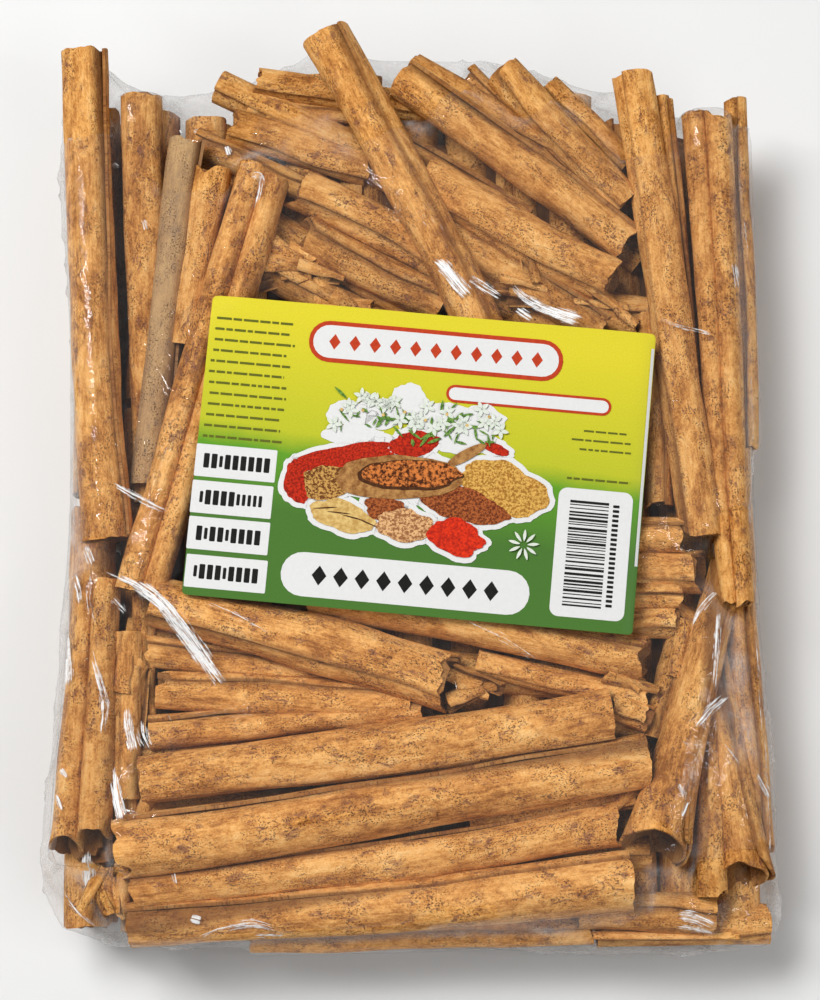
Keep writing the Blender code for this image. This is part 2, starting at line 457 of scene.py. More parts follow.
@dataclass(frozen=True)
class FilmFinish:
    """Thin clear film: see-through, glossy, and milky where it hangs free: haze and painted sheen.

    Attributes:
        haze_and_sheen: The colour of its milky parts, partly haze and partly painted sheen.
        haze_roughness: How rough those are.
        sheen: How much it mirrors where it is seen straight on.
        rim_sheen: How much more it mirrors where it is seen edge on.
        roughness: How rough its mirroring is.
        relief: The height of its small wrinkles.
        relief_share: How much of them shows.
    """

    haze_and_sheen: Colour = (0.90, 0.90, 0.89)
    haze_roughness: float = 0.35
    sheen: float = 0.05
    rim_sheen: float = 0.70
    roughness: float = 0.06
    relief: float = 1.2 * MM
    relief_share: float = 0.6

    def build(self) -> bpy.types.Material:
        """Makes the material. The attribute haze_and_sheen says how milky the film is: haze and painted
        sheen.

        Returns:
            The material.
        """
        material, n, shader = new_material("clear_film")
        place = n.add("ShaderNodeTexCoord").outputs["Object"]
        haze_and_sheen = n.add("ShaderNodeAttribute", attribute_name="haze_and_sheen").outputs["Fac"]
        streaks = n.noise(n.stretch(place, (420.0, 260.0, 420.0)), 4.0, 0.7, 1.2)
        # Milky white, partly the film's haze and partly painted sheen on its tilted wrinkles.
        milk_and_sheen = n.maths("MULTIPLY", haze_and_sheen, n.band(streaks, 0.30, 0.75, (0.45, 1.0)))
        shader.inputs["Base Color"].default_value = (*self.haze_and_sheen, 1.0)
        shader.inputs["Roughness"].default_value = self.haze_roughness
        wrinkle = n.noise(n.stretch(place, (75.0, 60.0, 75.0)), 3.0, 0.55, 0.8)
        crinkle = n.noise(n.stretch(place, (260.0, 210.0, 260.0)), 3.0, 0.6, 1.0)
        height = n.maths("MULTIPLY_ADD", crinkle, 0.22, wrinkle)
        bump = n.add(
            "ShaderNodeBump",
            {"Height": height, "Strength": self.relief_share, "Distance": self.relief},
        )
        n.tree.links.new(bump.outputs["Normal"], shader.inputs["Normal"])
        clear = n.add("ShaderNodeBsdfTransparent")
        gloss = n.add(
            "ShaderNodeBsdfGlossy",
            {"Roughness": self.roughness, "Normal": bump.outputs["Normal"]},
        )
        facing = n.add("ShaderNodeLayerWeight", {"Blend": 0.5, "Normal": bump.outputs["Normal"]})
        grazing = n.maths("POWER", facing.outputs["Facing"], 5.0)
        mirror = n.maths("MULTIPLY_ADD", grazing, self.rim_sheen, self.sheen)
        sheer = n.add(
            "ShaderNodeMixShader", {0: mirror, 1: clear.outputs[0], 2: gloss.outputs[0]}
        )
        whole = n.add(
            "ShaderNodeMixShader", {0: milk_and_sheen, 1: sheer.outputs[0], 2: shader.outputs[0]}
        )
        n.tree.links.new(whole.outputs[0], n.tree.nodes["Material Output"].inputs["Surface"])
        return material


@dataclass(frozen=True)
class GlintPleatFinish:
    """Painted glint on a gathered pleat of film: white strands, with clear gaps, for the light it
    catches.
    """

    white: Colour = (0.94, 0.94, 0.93)
    roughness: float = 0.30

    def build(self) -> bpy.types.Material:
        """Makes the material. The attribute strand holds the place along and across the pleat.

        Returns:
            The material.
        """
        material, n, shader = new_material("film_pleat_painted_glint")
        strand = n.add("ShaderNodeAttribute", attribute_name="strand").outputs["Vector"]
        glint_whiteness = n.add("ShaderNodeAttribute", attribute_name="glint_whiteness").outputs["Fac"]
        strands = n.noise(n.stretch(strand, (0.07, 1.7, 1.0)), 4.0, 0.72, 0.3)
        spots = n.noise(n.stretch(strand, (0.40, 1.1, 1.0)), 3.0, 0.6, 0.6)
        mask = n.maths("MULTIPLY_ADD", spots, 0.25, n.maths("MULTIPLY", strands, 0.75))
        level = n.maths("SUBTRACT", 0.68, n.maths("MULTIPLY", glint_whiteness, 0.28))
        rise = n.maths("DIVIDE", n.maths("SUBTRACT", mask, level), 0.11)
        solid = n.add("ShaderNodeClamp", {"Value": rise}).outputs[0]
        n.tree.links.new(n.maths("MULTIPLY", solid, 0.94), shader.inputs["Alpha"])
        # Painted glint: diffuse white where the pleat would mirror the light.
        shader.inputs["Base Color"].default_value = (*self.white, 1.0)
        shader.inputs["Roughness"].default_value = self.roughness
        return material


# ---------------------------------------------------------------- quills


class Roll(Enum):
    """How a sheet of bark is rolled."""

    SINGLE = "one scroll"
    DOUBLE = "two scrolls with a valley between"
    STRIP = "a curved strip"


@dataclass(frozen=True)
class Quill:
    """One quill: a sheet of bark rolled along a line.

    Attributes:
        start: One end of its axis, in millimetres.
        end: The other end.
        radius: Its radius at each end.
        roll: How it is rolled.
        seam: Where its free edge lies, in degrees from straight up towards its right side as seen
            from the start.
        turns: How many times the sheet goes round.
        bow: How far its middle bows to its right, in millimetres.
        torn: How ragged each end is, in millimetres.
        cut_back: How far the upper side of each end is cut back, which shows the roll's inside.
        flare: How much wider the last stretch of each end is, as a share.
        tone: Darker below 0, lighter above; partly the bark's own tone and partly painted shade, darker
            for quills that lie low, under others.
        grey: How much grey outer bark it still has, from 0 to 1.
    """

    start: Point
    end: Point
    radius: Place
    roll: Roll = Roll.SINGLE
    seam: float = 60.0
    turns: float = 1.35
    bow: float = 0.0
    torn: Place = (0.8, 0.8)
    cut_back: Place = (0.0, 0.0)
    flare: Place = (0.0, 0.0)
    tone: float = 0.0
    grey: float = 0.0


@dataclass
class QuillMaker:
    """Rolls quills into a mesh, many to a piece.

    Attributes:
        wall: The bark's thickness.
        across: Cells across the sheet.
        step: The length of a cell along the sheet.
        ripple: How uneven the outside is.
        count: How many quills it has rolled, which also seeds the next one.
    """

    wall: float = 0.95 * MM
    across: int = 54
    step: float = 3.0 * MM
    ripple: float = 0.42 * MM
    count: int = field(default=0, init=False)

    def section(self, quill: Quill, share: np.ndarray, along: np.ndarray) -> tuple:
        """The rolled section, as angle and reach from the axis, in units of the outer radius.

        Args:
            quill: The quill.
            share: Place across the sheet, from 0 to 1.
            along: Place along it, from 0 to 1.

        Returns:
            Sideways and upward reach.
        """
        mean = sum(quill.radius) / 2 * MM
        pitch = 1.12 * self.wall / mean
        wander = 10 * smooth_noise(along * 3 + self.count * 7.7, 0 * along, 5)
        start = math.radians(quill.seam) + np.radians(wander)
        if quill.roll is Roll.DOUBLE:
            side = np.where(share < 0.5, -1.0, 1.0)
            turned = np.abs(share - 0.5) * 2 * 2 * math.pi * quill.turns
            dive = np.clip((turned / (2 * math.pi) - 0.56) / 0.5, 0, 1)
            lobe = 0.60 - 0.34 * dive
            angle = -math.pi / 2 + turned
            spread = 0.40 * np.clip(turned / 0.5, 0, 1)
            sideways = side * (spread + lobe * np.cos(angle))
            upward = 1.38 * lobe * np.sin(angle)
            turn = math.radians(quill.seam)
            return (
                sideways * math.cos(turn) + upward * math.sin(turn),
                upward * math.cos(turn) - sideways * math.sin(turn),
            )
        turned = share * 2 * math.pi * quill.turns
        lap = turned / (2 * math.pi)
        dive = np.clip((lap - np.floor(lap) - 0.82) / 0.18, 0, 1)
        reach = np.maximum(1.0 - pitch * (np.floor(lap) + dive * dive * (3 - 2 * dive)), 0.2)
        lip = 0.03 * np.exp(-turned / 0.2)
        angle = start - turned
        lean = self.count * 1.3 + smooth_noise(along * 2.2 + self.count * 4.1, 0 * along, 6)
        oval = 1 + 0.05 * np.cos(2 * (angle - lean)) + 0.02 * np.cos(3 * angle + 5 * lean)
        reach = (reach + lip) * oval
        return reach * np.sin(angle), reach * np.cos(angle)

    def add(self, bm: bmesh.types.BMesh, quill: Quill) -> None:
        """Rolls one quill into a mesh.

        Args:
            bm: The mesh that it joins.
            quill: The quill.
        """
        self.count += 1
        seed = self.count
        start = in_metres(quill.start)
        run = in_metres(quill.end) - start
        length = float(np.linalg.norm(run))
        axis = run / length
        up = np.array([0.0, 0.0, 1.0]) - axis * axis[2]
        up = up / np.linalg.norm(up)
        side = np.cross(axis, up)
        rows = max(6, round(length / self.step))
        columns = self.across if quill.roll is not Roll.DOUBLE else round(self.across * 1.3)
        if quill.roll is Roll.STRIP:
            columns = max(8, self.across // 3)
        made = bmesh.ops.create_grid(bm, x_segments=columns, y_segments=rows, size=0.5)
        verts = made["verts"]
        faces = list({f for v in verts for f in v.link_faces})
        middle = min(faces, key=lambda face: face.calc_center_median().length)
        unit = np.array([v.co for v in verts])
        share = unit[:, 0] + 0.5
        along = unit[:, 1] + 0.5
        around = share * 2 * math.pi * quill.turns * sum(quill.radius) / 2 * MM
        jag = [
            edge * MM * np.maximum(
                1.1 * smooth_noise(around / (5.0 * MM) + 40 * end, 0 * share + seed, 11)
                + 0.35 * smooth_noise(around / (1.6 * MM) + 40 * end, 0 * share + seed, 12) + 0.3,
                0.0,
            )
            for end, edge in enumerate(quill.torn)
        ]
        sideways, upward = self.section(quill, share, along)
        for end, back in enumerate(quill.cut_back):
            jag[end] = jag[end] + back * MM * np.clip(0.5 + 0.5 * upward, 0, 1) ** 1.5
        place = jag[0] + (length - jag[0] - jag[1]) * along
        radius = (quill.radius[0] + (quill.radius[1] - quill.radius[0]) * along) * MM
        flare = quill.flare[0] * np.exp(-along * length / (9 * MM))
        flare = flare + quill.flare[1] * np.exp(-(1 - along) * length / (9 * MM))
        lumps = smooth_noise(around / (5 * MM) + seed * 3.1, place / (26 * MM) + seed, 21)
        fine = smooth_noise(around / (1.5 * MM) + seed * 5.3, place / (11 * MM) + seed, 22)
        swell = 0.04 * smooth_noise(place / (30 * MM) + seed * 2.2, 0 * place, 23)
        reach = radius * (1 + flare + swell) + self.ripple * (lumps + 0.45 * fine)
        bow = quill.bow * MM * np.sin(math.pi * place / length)
        wave = 0.5 * MM * smooth_noise(place / (45 * MM) + seed * 1.7, 0 * place, 24)
        points = (
            start
            + axis * place[:, None]
            + side * (reach * sideways + bow + wave)[:, None]
            + up * (reach * upward)[:, None]
        )
        grain = bm.verts.layers.float_vector.get("grain")
        tone = bm.verts.layers.float_vector.get("tone")
        # Painted shade: the lap inside the roll and the seam's free edge are marked darker.
        deep = np.clip((around / (2 * math.pi * radius) - 0.93) * 12, 0, 1)
        deep = np.maximum(deep, 0.8 * (share < 0.001))
        if quill.roll is Roll.DOUBLE:
            turned = np.abs(share - 0.5) * 2 * quill.turns
            deep = np.clip((turned - 0.80) * 7, 0, 1)
        for index, vert in enumerate(verts):
            vert.co = points[index]
            vert[grain] = (around[index] / MM, place[index] / MM + seed * 211.0, seed * 9.7)
            vert[tone] = (quill.tone, quill.grey, deep[index])
        self.face_out(bm, faces, middle, start, axis)
        wall = self.wall * (0.55 if quill.roll is Roll.STRIP else 1.0)
        wall = min(wall, 0.3 * sum(quill.radius) / 2 * MM)
        grown = bmesh.ops.solidify(bm, geom=faces, thickness=wall)["geom"]
        # The inner wall is marked dark: its own darker colour and painted shade in the hollow.
        for part in grown:
            if isinstance(part, bmesh.types.BMVert):
                old = part[tone]
                part[tone] = (old[0], old[1], 1.0)

    @staticmethod
    def face_out(
        bm: bmesh.types.BMesh, faces: list, middle: bmesh.types.BMFace, start: np.ndarray,
        axis: np.ndarray,
    ) -> None:
        """Turns a rolled sheet's faces to point away from its axis.

        Args:
            bm: The mesh that they are in.
            faces: The sheet's faces.
            middle: The one halfway across and along.
            start: A point on the axis.
            axis: The axis's direction.
        """
        for face in faces:
            face.normal_update()
        outward = np.array(middle.calc_center_median()) - start
        outward = outward - axis * float(outward @ axis)
        if float(outward @ np.array(middle.normal)) < 0:
            bmesh.ops.reverse_faces(bm, faces=faces)


def new_bark_mesh() -> bmesh.types.BMesh:
    """An empty mesh with the layers that bark needs.

    Returns:
        The bmesh.
    """
    bm = bmesh.new()
    bm.verts.layers.float_vector.new("grain")
    bm.verts.layers.float_vector.new("tone")
    return bm


LEFT_COLUMN = (
    Quill((-101, 134, 40), (-91, -19, 40), (6.7, 7.6), seam=-62, bow=1.0, tone=0.1),
    Quill((-84, 121, 35), (-79, -6, 29), (7.0, 6.2), seam=62, bow=-0.6, tone=-0.15),
    Quill((-69, 106, 40), (-80, -1, 33), (5.2, 5.8), seam=-66, torn=(1.8, 0.8), grey=0.75),
    Quill((-61, 97, 39), (-69, 42, 36), (5.8, 4.6), seam=70, torn=(2.0, 0.8), tone=-0.05),
    Quill(
        (-44, 96, 40.5), (-81, -35, 41), (8.3, 7.7), Roll.DOUBLE, seam=-6, turns=1.15,
        torn=(2.2, 0.8), tone=0.25,
    ),
    Quill(
        (-94, -30, 37), (-98, -115, 37), (6.8, 8.8), Roll.DOUBLE, seam=12, turns=1.1,
        torn=(1.6, 3.4), cut_back=(0, 10), flare=(0, 0.14), tone=-0.05,
    ),
    Quill((-85, -46, 37), (-85, -96, 36), (4.6, 4.6), seam=20, torn=(2.6, 1.4), tone=0.15),
    Quill((-80, -34, 36), (-79, -74, 34), (3.4, 3.2), seam=-30, torn=(1.6, 1.2)),
    Quill(
        (-84, -116, 38), (-86, -131, 35), (2.8, 2.2), Roll.STRIP, seam=60, turns=0.45,
        torn=(2.4, 2.6), tone=0.2,
    ),
)

TOP_FAN = (
    Quill(
        (-26, 138, 45.4), (22, 45, 41), (7.2, 7.7), seam=-28, bow=-1.0, torn=(0.6, 1.0),
        tone=0.3,
    ),
    Quill((-49, 126, 34), (6, 118, 33), (4.4, 4.6), seam=40, torn=(2.6, 1.0), tone=-0.3),
    Quill((-51, 119, 31), (-18, 116, 31), (3.0, 3.0), seam=-30, torn=(2.0, 1.0), tone=-0.4),
    Quill((-56, 112, 34), (-12, 99, 31), (5.4, 5.4), seam=50, torn=(2.4, 1.2), tone=-0.1),
    Quill((-67, 108, 31), (-30, 90, 31), (4.8, 5.0), seam=-20, torn=(2.6, 1.6), tone=-0.3),
    Quill(
        (-37, 92, 38), (16, 65, 34), (6.6, 7.0), seam=35, bow=-0.8, torn=(2.0, 1.0),
        cut_back=(3, 0), tone=0.1,
    ),
    Quill(
        (-36, 78, 37), (10, 54, 36), (6.0, 6.2), seam=-20, torn=(1.6, 1.0), cut_back=(6, 0),
        turns=1.9, tone=-0.15,
    ),
    Quill((-43, 67, 32), (-6, 46, 34), (6.2, 6.0), seam=20, torn=(3.0, 1.0), tone=-0.35),
    Quill((-9, 111, 33), (37, 83, 35), (3.2, 3.2), seam=-40, torn=(1.0, 1.4), tone=-0.2),
    Quill((-3, 126, 40), (67, 73, 38), (6.2, 6.7), seam=-50, bow=-1.0, torn=(1.6, 1.2), tone=0.1),
    Quill((28, 129, 37), (67, 86, 38), (5.4, 5.8), seam=40, torn=(1.2, 1.0), tone=-0.1),
    Quill((18, 130, 32), (50, 96, 33), (3.4, 3.4), seam=0, torn=(1.6, 1.0), tone=-0.3),
    Quill((43, 126, 33), (68, 100, 34), (3.8, 3.8), seam=30, torn=(1.2, 1.0), tone=-0.25),
    Quill(
        (4, 94, 38), (63, 60, 41), (6.8, 7.0), seam=55, bow=0.8, torn=(1.0, 3.0),
        cut_back=(0, 2), tone=0.2,
    ),
    Quill((10, 79, 34), (60, 46, 36), (6.4, 6.4), seam=-30, torn=(1.0, 1.4), tone=-0.15),
    Quill((54, 56, 33), (74, 53, 33), (4.6, 4.4), seam=20, torn=(2.4, 2.0), tone=-0.3),
)

RIGHT_COLUMN = (
    Quill((69, 126, 41.5), (87, -18, 42), (6.6, 5.7), seam=38, bow=-0.8, torn=(0.8, 2.4), tone=0.15),
    Quill((79, 120, 39), (86, 30, 38), (2.8, 2.6), seam=-40, torn=(1.0, 1.0), tone=-0.1),
    Quill(
        (91, 114, 40), (98, -39, 40), (7.6, 5.2), Roll.DOUBLE, seam=14, turns=1.15,
        torn=(2.2, 1.4), tone=0.05,
    ),
    Quill((101, 120, 35), (103, 10, 33), (3.9, 4.0), seam=0, torn=(1.4, 1.2), tone=-0.1),
    Quill((74, 52, 36), (76, -8, 38), (4.4, 4.4), seam=-30, torn=(1.0, 1.4), tone=-0.15),
    Quill(
        (96, -25, 35), (72, -114, 42), (4.9, 9.4), seam=-35, turns=1.25, torn=(1.0, 2.6),
        cut_back=(0, 8), flare=(0, 0.16), tone=0.3,
    ),
    Quill((91.5, -56, 34), (89.5, -125, 38), (2.0, 4.8), seam=30, torn=(0.6, 1.8), tone=-0.05),
    Quill(
        (91, -44, 31), (100, -122, 37), (3.8, 7.0), seam=-25, torn=(1.0, 2.2),
        cut_back=(0, 7), flare=(0, 0.12), tone=0.1,
    ),
    Quill((98.5, -24, 33), (105, -112, 32), (4.6, 4.4), seam=-20, torn=(1.0, 2.2), tone=-0.1),
    Quill((84, -43, 33), (74, -78, 34), (5.0, 5.0), seam=0, torn=(1.4, 1.4), tone=-0.35),
)

MIDDLE_BAND = (
    Quill((40, -16, 39), (83, -17, 41), (5.5, 5.5), seam=-35, torn=(1.0, 1.4), tone=0.2),
    Quill(
        (36, -26, 37), (90, -28, 37), (6.1, 6.6), seam=30, turns=1.8, torn=(1.0, 2.4),
        cut_back=(0, 5), tone=-0.05,
    ),
    Quill((40, -34, 39), (82, -35, 39), (3.4, 3.4), seam=0, torn=(1.0, 2.4), tone=0.1),
    Quill((36, -43, 35), (81, -43, 35), (5.4, 5.4), seam=30, torn=(1.0, 2.0), tone=-0.1),
    Quill(
        (-30, -34, 40), (72, -55, 40), (6.8, 6.7), seam=-30, turns=1.7, torn=(1.0, 2.2),
        cut_back=(0, 3), tone=0.1,
    ),
    Quill((20, -55, 37), (71, -67, 37), (4.1, 3.8), seam=40, torn=(1.2, 2.4), tone=-0.1),
    Quill(
        (-77, -37, 41), (14, -62, 41), (7.8, 8.6), seam=40, turns=1.75, bow=-1.0,
        torn=(1.0, 3.0), cut_back=(0, 4), tone=0.25,
    ),
    Quill((-80, -51, 35), (-26, -58, 32), (5.3, 5.2), seam=-30, torn=(2.2, 1.0), tone=-0.1),
    Quill((-76, -63, 37), (0, -67, 36), (5.5, 5.5), seam=-40, torn=(3.0, 1.0), tone=0.1),
    Quill((60, -68, 38), (72, -73, 38), (4.4, 4.0), seam=20, torn=(1.2, 2.6), tone=-0.1),
    Quill(
        (8, -58, 37), (22, -63, 37), (3.6, 3.0), Roll.STRIP, seam=30, turns=0.6,
        torn=(1.0, 3.0), tone=-0.2,
    ),
)

BOTTOM_BAND = (
    Quill((-78, -76, 37), (4, -69, 37), (4.9, 3.6), seam=-60, torn=(2.0, 1.0), tone=0.0),
    Quill((-80, -90.5, 41), (60, -71, 41), (7.4, 8.5), seam=62, bow=1.2, tone=0.15),
    Quill(
        (-87, -110, 40), (71, -84, 40.5), (9.7, 8.4), seam=-52, bow=1.4, torn=(3.2, 1.2),
        tone=0.25,
    ),
    Quill((-83, -123, 38), (62, -103, 38.5), (5.3, 6.9), seam=-70, bow=1.6, torn=(1.2, 1.6)),
    Quill((-84, -132.5, 35.5), (66, -120, 40), (6.4, 9.3), seam=-48, bow=1.2, tone=0.15),
    Quill((-48, -137, 28), (55, -134, 28), (4.8, 5.0), seam=0, torn=(1.0, 1.0), tone=0.1),
    Quill((50, -129, 32), (91, -130, 32), (6.2, 6.0), seam=-10, torn=(1.0, 2.6), tone=-0.1),
    Quill((56, -134, 26), (108, -133, 25), (5.6, 5.8), seam=30, torn=(1.0, 2.0), tone=-0.05),
    Quill((28, -98, 37), (70, -90, 38), (3.4, 3.2), seam=0, torn=(3.0, 2.0), tone=0.1),
    Quill((18, -104, 35), (69, -95, 36), (3.6, 3.4), seam=40, torn=(3.0, 2.0), tone=-0.1),
    Quill(
        (54, -137, 33), (98, -138, 30), (2.6, 2.6), Roll.STRIP, seam=0, turns=0.5,
        torn=(2.0, 2.0), tone=0.05,
    ),
)


# Painted shade: the half buried quills all get dark tones.
HALF_BURIED = (
    Quill((-60, 126, 30), (22, 86, 31), (5.4, 5.6), seam=30, tone=-0.35),
    Quill((-44, 116, 29), (40, 74, 31), (5.6, 5.4), seam=-30, tone=-0.3),
    Quill((0, 132, 31), (70, 88, 31), (5.6, 5.6), seam=10, tone=-0.3),
    Quill((-62, 92, 30), (4, 52, 30), (5.8, 5.6), seam=50, tone=-0.4),
    Quill((-22, 84, 31), (62, 38, 31), (5.8, 5.8), seam=-20, tone=-0.35),
    Quill((18, 114, 31), (72, 70, 31), (5.2, 5.2), seam=0, tone=-0.3),
    Quill((-86, -47, 30), (62, -62, 30), (5.8, 5.6), seam=20, tone=-0.35),
    Quill((-86, -82, 30), (72, -72, 31), (5.6, 5.6), seam=-40, tone=-0.3),
    Quill((-88, -101, 31), (72, -93, 31), (5.6, 5.6), seam=40, tone=-0.35),
    Quill((-88, -120, 30), (72, -112, 31), (5.4, 5.4), seam=0, tone=-0.3),
    Quill((40, -10, 31), (92, -50, 31), (5.6, 5.6), seam=0, tone=-0.35),
)


@dataclass
class QuillBundle:
    """Quills that lie together and make one piece.

    Attributes:
        name: The piece's name.
        quills: What is in it.
        maker: How finely they are rolled.
        painted_light_lift: How much paler they are than their own tones, as painted light on the whole
            bundle.
    """

    name: str
    quills: tuple[Quill, ...]
    maker: QuillMaker = field(default_factory=QuillMaker)
    painted_light_lift: float = 0.0

    def build(self, bark: bpy.types.Material, first: int) -> bpy.types.Object:
        """Rolls the quills.

        Args:
            bark: Their finish.
            first: How many quills came before, so that no two are alike.

        Returns:
            The piece.
        """
        self.maker.count = first
        bm = new_bark_mesh()
        for quill in self.quills:
            self.maker.add(bm, replace(quill, tone=quill.tone + self.painted_light_lift))
        return keep(finish_mesh(self.name, bm, bark))


@dataclass
class DeepLayers:
    """The quills below the surface, in two layers that run from foot to head.

    Attributes:
        levels: The height of each layer's axes.
        columns: How many lie side by side.
        spread: The first and the last column's place.
        radius: About how thick each is.
        foot: Where the layers start.
        head: Where they end, at places across the bag.
    """

    levels: Place = (8.4, 23.6)
    columns: int = 13
    spread: Place = (-97.0, 99.0)
    radius: float = 7.2
    foot: float = -136.0
    head: tuple[Place, ...] = ((-104, 132), (-93, 118), (-55, 121), (-30, 132), (45, 128), (90, 110))

    def quills(self) -> tuple[Quill, ...]:
        """Lays the quills out, two to a column.

        Returns:
            The quills.
        """
        rng = np.random.default_rng(41)
        places, reaches = zip(*self.head)
        laid = []
        for layer, level in enumerate(self.levels):
            for x in np.linspace(*self.spread, self.columns):
                head = float(np.interp(x, places, reaches)) - rng.uniform(0, 4)
                foot = self.foot + rng.uniform(0, 4)
                middle = rng.uniform(-22, 18) + 12 * layer
                for low, high in ((foot, middle - 1.5), (middle + 1.5, head)):
                    skew = rng.uniform(-1.0, 1.0, 2)
                    radius = self.radius + rng.uniform(-0.7, 0.5)
                    double = rng.random() < 0.3
                    laid.append(
                        Quill(
                            (x + skew[0], low, level + rng.uniform(-0.5, 0.5)),
                            (x + skew[1], high, level + rng.uniform(-0.5, 0.5)),
                            (radius, radius - rng.uniform(-0.4, 0.8)),
                            Roll.DOUBLE if double else Roll.SINGLE,
                            seam=rng.uniform(0, 360),
                            turns=1.1 if double else rng.uniform(1.3, 2.1),
                            torn=(rng.uniform(0.6, 2.2), rng.uniform(0.6, 2.2)),
                            # Tones lean dark: random tone with painted shade on the buried layers.
                            tone=rng.uniform(-0.4, 0.2),
                        )
                    )
        return tuple(laid)


@dataclass
class LooseChips:
    """Broken bits of bark between the quills.

    Attributes:
        spots: Where they gather, in millimetres, with how far they spread, how many there are and
            which way they lie, in degrees.
    """

    spots: tuple[tuple[Point, float, int, float], ...] = (
        ((-38, 70, 38), 8, 9, -25), ((-50, 60, 36), 7, 5, 80), ((-20, 54, 37), 7, 5, -30),
        ((64, 50, 38), 6, 4, -40), ((-90, -124, 36), 5, 5, 85), ((-83, -100, 36), 4, 4, 80),
        ((-84, -62, 38), 4, 4, 80), ((20, -62, 39), 5, 4, -10), ((68, -95, 39), 4, 5, 10),
        ((66, -62, 39), 5, 4, -15), ((34, 60, 40), 6, 3, -35), ((86, -50, 37), 5, 3, 70),
    )

    def quills(self) -> tuple[Quill, ...]:
        """Scatters the chips.

        Returns:
            The chips, as short curved strips.
        """
        rng = np.random.default_rng(77)
        chips = []
        for (x, y, z), spread, count, heading in self.spots:
            for _ in range(count):
                turn = math.radians(heading + rng.normal(0, 24))
                reach = rng.uniform(4, 10)
                centre = np.array([x, y, z]) + rng.normal(0, 0.5, 3) * (spread, spread, 1.5)
                run = np.array([math.cos(turn), math.sin(turn), rng.uniform(-0.1, 0.1)]) * reach
                chips.append(
                    Quill(
                        tuple(centre - run), tuple(centre + run),
                        (rng.uniform(1.8, 3.8), rng.uniform(1.6, 3.2)), Roll.STRIP,
                        seam=rng.uniform(-40, 110), turns=rng.uniform(0.35, 0.85),
                        torn=(1.4, 1.4), tone=rng.uniform(-0.4, 0.3),
                    )
                )
        return tuple(chips)


@dataclass
class PaintedShadeCore:
    """A block of painted shade deep in the bag, near-black, which closes the view between quills.

    Attributes:
        inset: How far it stays inside the bag's box, on each side.
        bottom: Its underside.
        top: Its top.
    """

    inset: Place = (24 * MM, 34 * MM)
    bottom: float = 9 * MM
    top: float = 27 * MM

    def build(self, material: bpy.types.Material) -> bpy.types.Object:
        """Makes the core from a bevelled, finely cut block.

        Args:
            material: Its finish.

        Returns:
            The piece.
        """
        size = (
            BAG_HIGH.x - BAG_LOW.x - 2 * self.inset[0], BAG_HIGH.y - BAG_LOW.y - 2 * self.inset[1],
            self.top - self.bottom,
        )
        bm = bmesh.new()
        bmesh.ops.create_cube(bm, size=1.0)
        bmesh.ops.scale(bm, vec=size, verts=bm.verts[:])
        bmesh.ops.bevel(
            bm, geom=bm.edges[:], offset=6 * MM, affect="EDGES", segments=3, profile=0.5, material=-1
        )
        bmesh.ops.subdivide_edges(bm, edges=bm.edges[:], cuts=5, use_grid_fill=True)
        middle = Vector((*BAG_FOOT[:2], BAG_FOOT[2] + (self.top + self.bottom) / 2))
        bmesh.ops.translate(bm, vec=middle, verts=bm.verts[:])
        return keep(finish_mesh("painted_shade_core", bm, material))


# ---------------------------------------------------------------- film


@dataclass(frozen=True)
class GlintPleat:
    """A pleat in the film that catches the light, drawn as a painted glint.

    Attributes:
        route: Its points from above, in millimetres.
        width: Its half width at the start and at the end.
        white: How bright its painted glint is, from 0 to 1.
    """

    route: tuple[Place, ...]
    width: Place = (1.0, 1.0)
    white: float = 0.8
